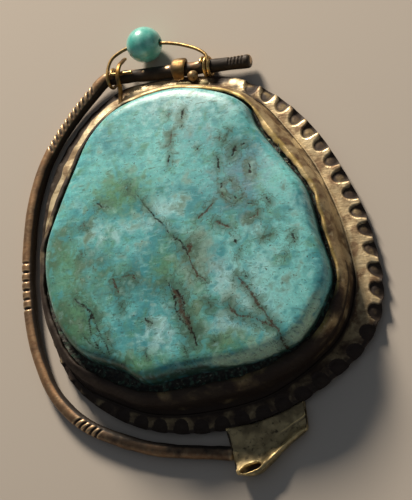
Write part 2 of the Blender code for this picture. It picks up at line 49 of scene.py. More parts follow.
outlines = {  # clockwise from the top, as the part has them
    "stone": [
        (-3.0, 17.9), (1.8, 16.9), (5.4, 14.9), (6.9, 11.8), (9.9, 7.5), (12.2, 4.0), (13.5, -1.1),
        (14.75, -5.8), (13.5, -9.4), (10.9, -12.5), (6.0, -13.95), (-0.8, -14.3), (-5.5, -14.75),
        (-8.2, -13.1), (-12.6, -11.0), (-15.3, -7.8), (-17.1, -3.1), (-17.5, 1.4), (-16.3, 5.7),
        (-14.4, 10.2), (-12.3, 14.2), (-8.8, 16.9),
    ],
    "rim": [
        (-4.2, 18.8), (0.9, 18.0), (4.9, 16.3), (7.4, 12.9), (10.45, 8.5), (12.95, 4.3), (14.3, -1.3),
        (15.4, -5.7), (14.5, -9.7), (11.8, -13.1), (6.5, -15.3), (-0.5, -15.9), (-5.8, -15.95),
        (-9.6, -14.4), (-13.5, -12.1), (-16.3, -8.5), (-18.0, -3.4), (-18.35, 1.5), (-17.2, 6.2),
        (-15.2, 10.9), (-12.9, 15.0), (-9.2, 17.8),
    ],
    "foot": [
        (-4.2, 19.6), (1.4, 18.7), (5.6, 16.6), (8.9, 12.6), (11.8, 8.2), (14.0, 3.2), (15.4, -1.6),
        (16.0, -5.6), (15.0, -9.9), (12.3, -13.1), (6.6, -16.4), (-0.5, -17.4), (-6.2, -16.9),
        (-10.4, -15.2), (-14.4, -12.8), (-17.2, -9.0), (-18.9, -3.6), (-19.2, 1.7), (-17.9, 6.6),
        (-15.8, 11.4), (-13.3, 15.6), (-9.4, 18.5),
    ],
    "border": [
        (-5.6, 21.35), (-0.2, 20.85), (3.9, 19.6), (8.2, 16.6), (12.4, 11.7), (15.9, 5.2), (17.7, 0.3),
        (18.9, -6.6), (17.4, -11.8), (13.0, -15.7), (7.5, -18.3), (0.9, -19.5), (-5.8, -18.8),
        (-11.3, -16.4), (-16.2, -11.9), (-19.0, -5.0), (-20.25, 3.5), (-19.1, 11.8), (-15.6, 17.8),
        (-11.2, 20.85),
    ],
}


def splinePoints(points, steps, closed):
    points = np.array(points, float)
    count = len(points)
    if closed:
        padded = np.concatenate([points[-1:], points, points[:2]])
    else:
        padded = np.concatenate([2 * points[:1] - points[1:2], points, 2 * points[-1:] - points[-2:-1]])
    out = []
    t = np.linspace(0, 1, steps, endpoint=False)[:, None]
    for span in range(count if closed else count - 1):
        a, b, c, d = padded[span:span + 4]
        out.append(0.5 * (2 * b + (c - a) * t + (2 * a - 5 * b + 4 * c - d) * t ** 2
                          + (3 * b - a - 3 * c + d) * t ** 3))
    if not closed:
        out.append(points[-1:])
    return np.concatenate(out)


def radiusAt(outline, angles):
    dense = splinePoints(outlines[outline], 24, True) - planCentre
    around = np.unwrap(np.arctan2(dense[:, 1], dense[:, 0]))[::-1]
    radii = np.hypot(dense[:, 0], dense[:, 1])[::-1]
    turn = 2 * math.pi
    around = np.concatenate([around - turn, around, around + turn])
    place = (angles - around[0]) % turn + around[len(dense)]
    return np.interp(place, around, np.tile(radii, 3))


# Smooth random heights between -1 and 1, in bumps about `size` mm across
def softNoise(points, size, seed):
    cells = 24
    lattice = np.random.default_rng(seed).uniform(-1, 1, (cells, cells, cells))
    scaled = np.asarray(points) / size + 500.0  # keeps every cell number above zero
    cell = np.floor(scaled).astype(int)
    share = scaled - cell
    share = share * share * (3 - 2 * share)
    total = np.zeros(scaled.shape[:-1])
    for corner in np.ndindex(2, 2, 2):
        weight = np.where(corner, share, 1 - share).prod(axis=-1)
        total += weight * lattice[tuple(np.moveaxis((cell + corner) % cells, -1, 0))]
    return total


def smoothStep(values, low, high):
    share = np.clip((values - low) / (high - low), 0, 1)
    return share * share * (3 - 2 * share)


def ringGrid(angles, radii, heights):
    x = planCentre[0] + radii * np.cos(angles)
    y = planCentre[1] + radii * np.sin(angles)
    return np.stack(np.broadcast_arrays(x, y, heights), axis=-1)


# Four-cornered faces over a grid of points whose columns run round and meet
def gridFaces(rows, columns, closeRows):
    row = np.arange(rows if closeRows else rows - 1)[:, None]
    column = np.arange(columns)[None, :]
    below = (row + 1) % rows
    beside = (column + 1) % columns
    corners = [
        row * columns + column, row * columns + beside,
        below * columns + beside, below * columns + column,
    ]
    return np.stack(np.broadcast_arrays(*corners), axis=-1).reshape(-1, 4).tolist()


# How far each point stands out from its smoothed surroundings, in mm: crests above zero, hollows below
def reliefOf(points, normals, edges, rounds):
    count = len(points)
    smooth = points.copy()
    degree = np.bincount(edges.ravel(), minlength=count)[:, None]
    for _ in range(rounds):
        total = np.stack([np.bincount(edges[:, 0], smooth[edges[:, 1], axis], count)
                          + np.bincount(edges[:, 1], smooth[edges[:, 0], axis], count)
                          for axis in range(3)], axis=1)
        smooth = 0.5 * smooth + 0.5 * total / degree
    return ((points - smooth) * normals).sum(axis=1)


# A grid of points (rows, columns, 3) becomes one piece that rides on a body and stands for a CAD node
def addPiece(name, grid, finish, body, node, closeRows=False, fields=None, reliefRounds=12):
    rows, columns = grid.shape[:2]
    points = grid.reshape(-1, 3) + planShift
    faces = gridFaces(rows, columns, closeRows)
    if not closeRows:
        for first in (0, (rows - 1) * columns):
            centre = len(points)
            points = np.concatenate([points, points[first:first + columns].mean(axis=0, keepdims=True)])
            faces += [(first + k, first + (k + 1) % columns, centre) for k in range(columns)]
    mesh = bpy.data.meshes.new(name)
    mesh.from_pydata((points * mm).tolist(), [], faces)
    bm = bmesh.new()
    bm.from_mesh(mesh)
    bmesh.ops.recalc_face_normals(bm, faces=bm.faces)
    bm.to_mesh(mesh)
    bm.free()
    mesh.shade_smooth()
    count = len(points)
    normals = np.zeros(count * 3, np.float32)
    mesh.vertex_normals.foreach_get("vector", normals)
    edges = np.zeros(len(mesh.edges) * 2, np.int32)
    mesh.edges.foreach_get("vertices", edges)
    allFields = dict(fields or {})
    allFields["relief"] = reliefOf(points, normals.reshape(-1, 3), edges.reshape(-1, 2), reliefRounds)
    for field, values in allFields.items():
        padded = np.zeros(count, np.float32)
        padded[:values.size] = values.reshape(-1)
        mesh.attributes.new(field, "FLOAT", "POINT").data.foreach_set("value", padded)
    piece = bpy.data.objects.new(name, mesh)
    bpy.context.scene.collection.objects.link(piece)
    mesh.materials.append(finish)
    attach(piece, body)
    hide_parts(node)
    print("made", name, len(mesh.polygons), "faces")


# Rings of points around a path; `radii` is one number, one a station, or one for each point
def tubeGrid(path, radii, sides, upright=(0.0, 0.0, 1.0)):
    path = np.array(path, float)
    ahead = np.gradient(path, axis=0)
    ahead /= np.linalg.norm(ahead, axis=1, keepdims=True)
    side = np.cross(ahead[0], upright)
    normals = []
    normal = np.cross(side, ahead[0])
    for direction in ahead:
        normal = normal - direction * (normal @ direction)
        normal = normal / np.linalg.norm(normal)
        normals.append(normal)
    normals = np.array(normals)
    across = np.cross(normals, ahead)
    angles = np.linspace(0, 2 * math.pi, sides, endpoint=False)
    circle = normals[:, None] * np.cos(angles)[:, None] + across[:, None] * np.sin(angles)[:, None]
    if np.ndim(radii):
        radii = np.reshape(radii, (len(path), -1))
    radii = np.broadcast_to(radii, (len(path), sides))
    return path[:, None] + circle * radii[..., None], circle


def evenPath(points, spacing):
    run = np.concatenate([[0], np.cumsum(np.linalg.norm(np.diff(points, axis=0), axis=1))])
    places = np.linspace(0, run[-1], max(2, int(run[-1] / spacing) + 1))
    return np.stack([np.interp(places, run, points[:, axis]) for axis in range(3)], axis=1), places


def linear(code):
    parts = [int(code[k:k + 2], 16) / 255 for k in (1, 3, 5)]
    return (*((c / 12.92 if c <= 0.04045 else ((c + 0.055) / 1.055) ** 2.4) for c in parts), 1.0)


# Links or sets each of the given inputs of a node
def fillInputs(tree, node, inputs):
    for key, value in inputs.items():
        if isinstance(value, bpy.types.NodeSocket):
            tree.links.new(value, node.inputs[key])
        else:
            node.inputs[key].default_value = value


# Adds a node with its settings and links, and gives back one of its outputs
def addNode(tree, kind, inputs=None, out=0, **settings):
    node = tree.nodes.new("ShaderNode" + kind)
    for key, value in settings.items():
        setattr(node, key, value)
    fillInputs(tree, node, inputs or {})
    return node.outputs[out]


def newMaterial(name):
    made = bpy.data.materials.new(name)
    made.use_nodes = True
    tree = made.node_tree
    return made, tree, addNode(tree, "TexCoord", out="Object"), tree.nodes["Principled BSDF"]


smooth = {"interpolation_type": "SMOOTHSTEP"}
blend = {"out": 2, "data_type": "RGBA"}
shifted = {"noise_dimensions": "4D"}
times = {"operation": "MULTIPLY"}
plus = {"operation": "ADD"}
minus = {"operation": "SUBTRACT"}
larger = {"operation": "MAXIMUM"}
timesPlus = {"operation": "MULTIPLY_ADD"}


# Lays tones over a colour: each has its driver, where it starts and is whole, its strength and its name
def layTones(tree, colour, look, tones):
    for driver, start, whole, strength, tone in tones:
        share = addNode(tree, "MapRange", {0: driver, 1: start, 2: whole, 4: strength}, **smooth)
        colour = addNode(tree, "Mix", {0: share, 6: colour, 7: linear(look[tone])}, **blend)
    return colour


# Metal darkened by handling: bright on worn crests, brown on the faces, black grime in the hollows; the
# mesh's fields add dirt with painted shade, and a painted sheen
def agedMetal(name, look):
    made, tree, place, shader = newMaterial(name)
    blotches = addNode(tree, "TexNoise", {
        "Vector": place, "Scale": 1 / (look["blotchSize"] * mm), "Detail": 6.0, "Distortion": 0.5})
    speckle = addNode(tree, "TexNoise", {
        "Vector": place, "W": 3.0, "Scale": 1 / (look["speckleSize"] * mm), "Detail": 3.0}, **shifted)
    across = addNode(tree, "Mapping", {
        "Vector": place, "Scale": (1.0, 7.0, 1.0), "Rotation": (0.0, 0.0, look["scratchTurn"])})
    scratches = addNode(tree, "TexNoise", {
        "Vector": across, "Scale": 1 / (look["scratchSize"] * mm), "Detail": 3.0})
    relief, dirtAndShade, sheenShare, tinted = (
        addNode(tree, "Attribute", out="Fac", attribute_name=field)
        for field in ("relief", "dirtAndShade", "paintedSheen", "tint"))
    # Base colour: two browns in blotches, small dark specks and paler dust
    tinted = addNode(tree, "Math", {0: tinted, 1: blotches}, **plus)
    colour = layTones(tree, linear(look["body"]), look, [
        (blotches, 0.36, 0.64, 1.0, "patina"), (tinted, 0.75, 1.35, 1.0, "tint"),
        (speckle, 0.54, 0.74, 0.85, "speck"), (speckle, 0.44, 0.26, look["dust"], "bright"),
    ])
    # Worn crests, and the painted sheen the mesh's field asks for
    uneven = addNode(tree, "MapRange", {0: speckle, 3: -0.7 * look["crest"], 4: 0.7 * look["crest"]})
    worn = addNode(tree, "Math", {0: relief, 1: uneven}, **plus)
    worn = addNode(tree, "MapRange", {0: worn, 1: 0.3 * look["crest"], 2: 1.6 * look["crest"]}, **smooth)
    patchy = addNode(tree, "MapRange", {0: blotches, 1: 0.62, 2: 0.36, 3: 0.15}, **smooth)
    sheenShare = addNode(tree, "Math", {0: sheenShare, 1: patchy}, **times)
    worn = addNode(tree, "Math", {0: worn, 1: sheenShare}, **larger)
    # Grime in the hollows, and dirt and painted shade where the mesh's field says so
    hollow = addNode(tree, "MapRange", {0: relief, 1: -0.2 * look["hollow"], 2: -look["hollow"]}, **smooth)
    uneven = addNode(tree, "MapRange", {0: blotches, 3: -0.35, 4: 0.35})
    dirtyAndShaded = addNode(tree, "Math", {0: dirtAndShade, 1: uneven}, **plus)
    dirtyAndShaded = addNode(tree, "MapRange", {0: dirtyAndShaded, 1: 0.25, 2: 0.8}, **smooth)
    dirtyAndShaded = addNode(tree, "Math", {0: dirtyAndShaded, 1: hollow}, **larger)
    for amount, strength, tone in ((worn, "brightening", "bright"), (dirtyAndShaded, "darkening", "dark")):
        share = addNode(tree, "Math", {0: amount, 1: look[strength]}, **times)
        colour = addNode(tree, "Mix", {0: share, 6: colour, 7: linear(look[tone])}, **blend)
    metal = addNode(tree, "MapRange", {0: dirtyAndShaded, 3: look["metallic"], 4: 0.35 * look["metallic"]})
    rough = addNode(tree, "MapRange", {0: worn, 3: look["roughness"], 4: 0.7 * look["roughness"]})
    lift = addNode(tree, "MapRange", {0: scratches, 3: -0.17, 4: 0.17})
    rough = addNode(tree, "Math", {0: rough, 1: lift}, **plus)
    rough = addNode(tree, "Math", {0: dirtyAndShaded, 1: 0.2, 2: rough}, **timesPlus)
    height = addNode(tree, "Mix", {0: 0.35, 2: speckle, 3: scratches})
    bump = addNode(tree, "Bump", {
        "Strength": look["bump"], "Distance": look["bumpDepth"] * mm, "Height": height})
    fillInputs(tree, shader, {
        "Base Color": colour, "Metallic": metal, "Roughness": rough, "Normal": bump})
    return made


# Old cast bronze of the setting: olive gold on worn crests and where a sheen is painted, brown elsewhere
castBronze = agedMetal("bronze cast and hand worn", {
    "body": "#ab9468", "patina": "#705236", "tint": "#a0884a", "speck": "#46331f", "bright": "#efdcb4",
    "dark": "#271911", "dust": 0.4, "blotchSize": 1.7, "speckleSize": 0.42, "scratchSize": 1.2,
    "scratchTurn": 0.5, "crest": 0.12, "hollow": 0.09, "brightening": 0.8, "darkening": 0.97, "metallic": 0.5,
    "roughness": 0.5, "bump": 0.7, "bumpDepth": 0.06,
})
# Rod of redder bronze, duller from handling, its filed edges rubbed pale
rodBronze = agedMetal("bronze rod filed and rubbed", {
    "body": "#8c694a", "patina": "#604633", "tint": "#8c694a", "speck": "#2f2116", "bright": "#d3b78e",
    "dark": "#17100b", "dust": 0.2, "blotchSize": 2.4, "speckleSize": 0.5, "scratchSize": 1.0,
    "scratchTurn": 1.1, "crest": 0.035, "hollow": 0.05, "brightening": 0.75, "darkening": 0.94, "metallic": 0.55,
    "roughness": 0.5, "bump": 0.55, "bumpDepth": 0.05,
})
# Yellow brass of the wire and straps, drawn smooth and still bright
drawnBrass = agedMetal("brass drawn wire", {
    "body": "#a9803f", "patina": "#76582e", "tint": "#a9803f", "speck": "#4d381c", "bright": "#efd193",
    "dark": "#2a1c10", "dust": 0.15, "blotchSize": 1.4, "speckleSize": 0.3, "scratchSize": 0.8,
    "scratchTurn": 0.0, "crest": 0.03, "hollow": 0.05, "brightening": 0.75, "darkening": 0.75, "metallic": 0.85,
    "roughness": 0.38, "bump": 0.15, "bumpDepth": 0.02,
})
# Tin solder gone dull and pale, lumpy as it set
setSolder = agedMetal("solder set dull", {
    "body": "#a39a74", "patina": "#7a6f4e", "tint": "#a39a74", "speck": "#544a33", "bright": "#e6dfc0",
    "dark": "#3a3020", "dust": 0.3, "blotchSize": 0.9, "speckleSize": 0.25, "scratchSize": 0.7,
    "scratchTurn": 0.3, "crest": 0.03, "hollow": 0.06, "brightening": 0.6, "darkening": 0.75, "metallic": 0.5,
    "roughness": 0.55, "bump": 0.6, "bumpDepth": 0.06,
})
# The leaf's bronze has gone greyer and darker than the setting's
tailBronze = agedMetal("bronze hammered and darkened", {
    "body": "#b9a77e", "patina": "#8c7d5c", "tint": "#4a2416", "speck": "#363023", "bright": "#f0d596",
    "dark": "#1c120c", "dust": 0.2, "blotchSize": 1.6, "speckleSize": 0.45, "scratchSize": 1.0,
    "scratchTurn": 0.8, "crest": 0.05, "hollow": 0.1, "brightening": 0.9, "darkening": 0.92, "metallic": 0.7,
    "roughness": 0.46, "bump": 0.8, "bumpDepth": 0.08,
})


pitchLook = {
    "black": "#12120e", "dusty": "#333024", "salts": "#55806a", "glint": "#b9c7ae", "grainSize": 0.35,
    "fleckSize": 0.5, "roughness": 0.7, "bump": 0.9, "bumpDepth": 0.14,
}


# Blackened setting cement, crumbled and dusty, with green flecks of copper salts
def makePitchMaterial(look):
    made, tree, place, shader = newMaterial("setting cement crumbled")
    grain = addNode(tree, "TexNoise", {
        "Vector": place, "Scale": 1 / (look["grainSize"] * mm), "Detail": 4.0})
    flecks = addNode(tree, "TexNoise", {
        "Vector": place, "W": 5.0, "Scale": 1 / (look["fleckSize"] * mm), "Detail": 3.0}, **shifted)
    green = addNode(tree, "Attribute", out="Fac", attribute_name="green")
    colour = layTones(tree, linear(look["black"]), look, [(grain, 0.4, 0.65, 1.0, "dusty")])
    # Green salts in the green dust, and pale specks there that are painted glints
    for driver, start, whole, tone in ((flecks, 0.5, 0.64, "salts"), (grain, 0.66, 0.7, "glint")):
        share = addNode(tree, "MapRange", {0: driver, 1: start, 2: whole}, **smooth)
        share = addNode(tree, "Math", {0: share, 1: green}, use_clamp=True, **times)
        colour = addNode(tree, "Mix", {0: share, 6: colour, 7: linear(look[tone])}, **blend)
    bump = addNode(tree, "Bump", {
        "Strength": look["bump"], "Distance": look["bumpDepth"] * mm, "Height": grain})
    fillInputs(tree, shader, {"Base Color": colour, "Roughness": look["roughness"], "Normal": bump})
    return made


stoneLook = {
    "deep": "#469fa8", "body": "#70c8ca", "light": "#aeeced", "streak": "#4299a3", "fleck": "#467062",
    "green": "#639a70", "blueGrey": "#5e8aa0", "tan": "#8c9c84", "pale": "#c9f5f8", "aqua": "#8adfdd",
    "paintedLightLowRight": "#cff0cf", "moss": "#45644e", "paintedShadeLow": "#2c4a3a", "stain": "#426a54", "web": "#44695a",
    "veinDark": "#15120d", "veinRust": "#482b1b", "veinOlive": "#2f4630",
    "broadSize": 6.0, "mottleSize": 2.2, "cloudSize": 1.0, "streakSize": 1.5, "fleckSize": 0.7,
    "grainSize": 0.38, "fineSize": 0.17, "lay": -0.22,
    "roughness": 0.4, "coat": 0.12, "coatRoughness": 0.28, "seep": 0.5, "seepReach": 1.4,
    "bump": 0.45, "bumpDepth": 0.07,
    "zones": [  # patch, strength, how ragged its edge is
        ("pale", 0.7, 1.0), ("aqua", 0.75, 0.9), ("blueGrey", 0.75, 1.0), ("green", 0.9, 0.9),
        ("tan", 0.75, 0.6), ("moss", 0.75, 0.7), ("paintedLightLowRight", 0.85, 0.8), ("paintedShadeLow", 0.95, 1.0),
        ("stain", 0.8, 0.45),
    ],
    "veins": [("veinOlive", 0.75), ("veinRust", 0.85), ("veinDark", 0.95)],
}


# Turquoise ground and polished by hand: cloudy blue and green with short dark veins under a waxy gloss
def makeStoneMaterial(look):
    made, tree, place, shader = newMaterial("turquoise hand polished")
    lay = addNode(tree, "Mapping", {
        "Vector": place, "Scale": (1.0, 3.0, 1.0), "Rotation": (0.0, 0.0, look["lay"])})
    broad = addNode(tree, "TexNoise", {
        "Vector": place, "Scale": 1 / (look["broadSize"] * mm), "Detail": 4.0, "Distortion": 0.6})
    mottle = addNode(tree, "TexNoise", {
        "Vector": place, "W": 2.1, "Scale": 1 / (look["mottleSize"] * mm), "Detail": 6.0,
        "Distortion": 0.7}, **shifted)
    cloud = addNode(tree, "TexNoise", {
        "Vector": place, "W": 6.3, "Scale": 1 / (look["cloudSize"] * mm), "Detail": 6.0,
        "Distortion": 0.4}, **shifted)
    streaks = addNode(tree, "TexNoise", {
        "Vector": lay, "Scale": 1 / (look["streakSize"] * mm), "Detail": 7.0, "Roughness": 0.6})
    flecks = addNode(tree, "TexNoise", {
        "Vector": lay, "W": 8.0, "Scale": 1 / (look["fleckSize"] * mm), "Detail": 4.0}, **shifted)
    grain = addNode(tree, "TexNoise", {
        "Vector": place, "W": 4.5, "Scale": 1 / (look["grainSize"] * mm), "Detail": 4.0}, **shifted)
    fine = addNode(tree, "TexNoise", {
        "Vector": place, "Scale": 1 / (look["fineSize"] * mm), "Detail": 2.0})
    # Patches laid over the plan, with ragged edges
    ragged = addNode(tree, "Math", {0: mottle, 1: cloud}, **plus)
    ragged = addNode(tree, "MapRange", {0: ragged, 1: 0.6, 2: 1.4, 3: -0.7, 4: 0.7})
    patches = []
    for zone, strength, ripped in look["zones"]:
        share = addNode(tree, "Attribute", out="Fac", attribute_name=zone)
        share = addNode(tree, "Math", {0: ragged, 1: ripped, 2: share}, **timesPlus)
        patches.append((share, 0.10, 0.95, strength, zone))
    colour = layTones(tree, linear(look["deep"]), look, [
        (broad, 0.38, 0.58, 1.0, "body"), (mottle, 0.52, 0.70, 0.65, "light"),
        (mottle, 0.49, 0.32, 0.65, "green"), (streaks, 0.50, 0.66, 0.55, "streak"),
        (streaks, 0.47, 0.32, 0.45, "light"), *patches, (cloud, 0.54, 0.72, 0.38, "light"),
        (cloud, 0.47, 0.30, 0.50, "streak"), (flecks, 0.58, 0.70, 0.60, "fleck"),
    ])
    # Hair-thin web, strongest where the stone is stained
    stain = addNode(tree, "Attribute", out="Fac", attribute_name="stain")
    web = addNode(tree, "Math", {0: cloud, 1: 0.5}, **minus)
    web = addNode(tree, "Math", {0: web}, operation="ABSOLUTE")
    web = addNode(tree, "MapRange", {0: web, 1: 0.022, 2: 0.004}, **smooth)
    near = addNode(tree, "MapRange", {0: stain, 1: 0.0, 2: 0.5, 3: 0.15, 4: 0.9})
    web = addNode(tree, "Math", {0: web, 1: near}, **times)
    colour = addNode(tree, "Mix", {0: web, 6: colour, 7: linear(look["web"])}, **blend)
    # Veins, broken up by the grain
    edge = addNode(tree, "Mix", {0: 0.45, 2: grain, 3: fine})
    edge = addNode(tree, "MapRange", {0: edge, 1: 0.25, 2: 0.75, 3: -0.95, 4: 0.85})
    veins = 0.0
    for vein, strength in look["veins"]:
        share = addNode(tree, "Attribute", out="Fac", attribute_name=vein)
        share = addNode(tree, "Math", {0: share, 1: edge}, **plus)
        share = addNode(tree, "MapRange", {0: share, 1: 0.18, 2: 1.0, 4: strength}, **smooth)
        colour = addNode(tree, "Mix", {0: share, 6: colour, 7: linear(look[vein])}, **blend)
        veins = addNode(tree, "Math", {0: share, 1: veins}, **larger)
    shade = addNode(tree, "MapRange", {0: grain, 1: 0.25, 2: 0.75, 3: 0.80, 4: 1.18})
    colour = addNode(tree, "Mix", {0: 1.0, 6: colour, 7: shade}, blend_type="MULTIPLY", **blend)
    rough = addNode(tree, "MapRange", {
        0: streaks, 3: look["roughness"] - 0.22, 4: look["roughness"] + 0.22})
    rough = addNode(tree, "Math", {0: veins, 1: 0.25, 2: rough}, **timesPlus)
    gloss = addNode(tree, "MapRange", {0: veins, 3: 0.5, 4: 0.1})
    coat = addNode(tree, "MapRange", {0: veins, 3: look["coat"], 4: 0.0})
    height = addNode(tree, "Mix", {0: 0.4, 2: streaks, 3: grain})
    height = addNode(tree, "Math", {0: veins, 1: -0.2, 2: height}, **timesPlus)
    bump = addNode(tree, "Bump", {
        "Strength": look["bump"], "Distance": look["bumpDepth"] * mm, "Height": height})
    fillInputs(tree, shader, {
        "Base Color": colour, "Roughness": rough, "Specular IOR Level": gloss, "Coat Weight": coat,
        "Coat Roughness": look["coatRoughness"], "Subsurface Weight": look["seep"],
        "Subsurface Radius": (1.0, 1.0, 1.0), "Subsurface Scale": look["seepReach"] * mm, "Normal": bump})
    return made


beadLook = {
    "deep": "#57bcb0", "light": "#8fdfd4", "speck": "#3d8273", "cloudSize": 1.1, "speckSize": 0.5,
    "roughness": 0.3, "coat": 0.9, "coatRoughness": 0.19, "bump": 0.2, "bumpDepth": 0.04,
}


# The bead's clearer blue-green turquoise, rounder and glossier than the stone
def makeBeadMaterial(look):
    made, tree, place, shader = newMaterial("turquoise bead tumbled")
    clouds = addNode(tree, "TexNoise", {
        "Vector": place, "Scale": 1 / (look["cloudSize"] * mm), "Detail": 4.0})
    specks = addNode(tree, "TexNoise", {
        "Vector": place, "W": 2.0, "Scale": 1 / (look["speckSize"] * mm), "Detail": 2.0}, **shifted)
    colour = layTones(tree, linear(look["deep"]), look, [
        (clouds, 0.35, 0.7, 1.0, "light"), (specks, 0.62, 0.72, 0.45, "speck")])
    bump = addNode(tree, "Bump", {
        "Strength": look["bump"], "Distance": look["bumpDepth"] * mm, "Height": clouds})
    fillInputs(tree, shader, {
        "Base Color": colour, "Roughness": look["roughness"], "Coat Weight": look["coat"],
        "Coat Roughness": look["coatRoughness"], "Normal": bump})
    return made


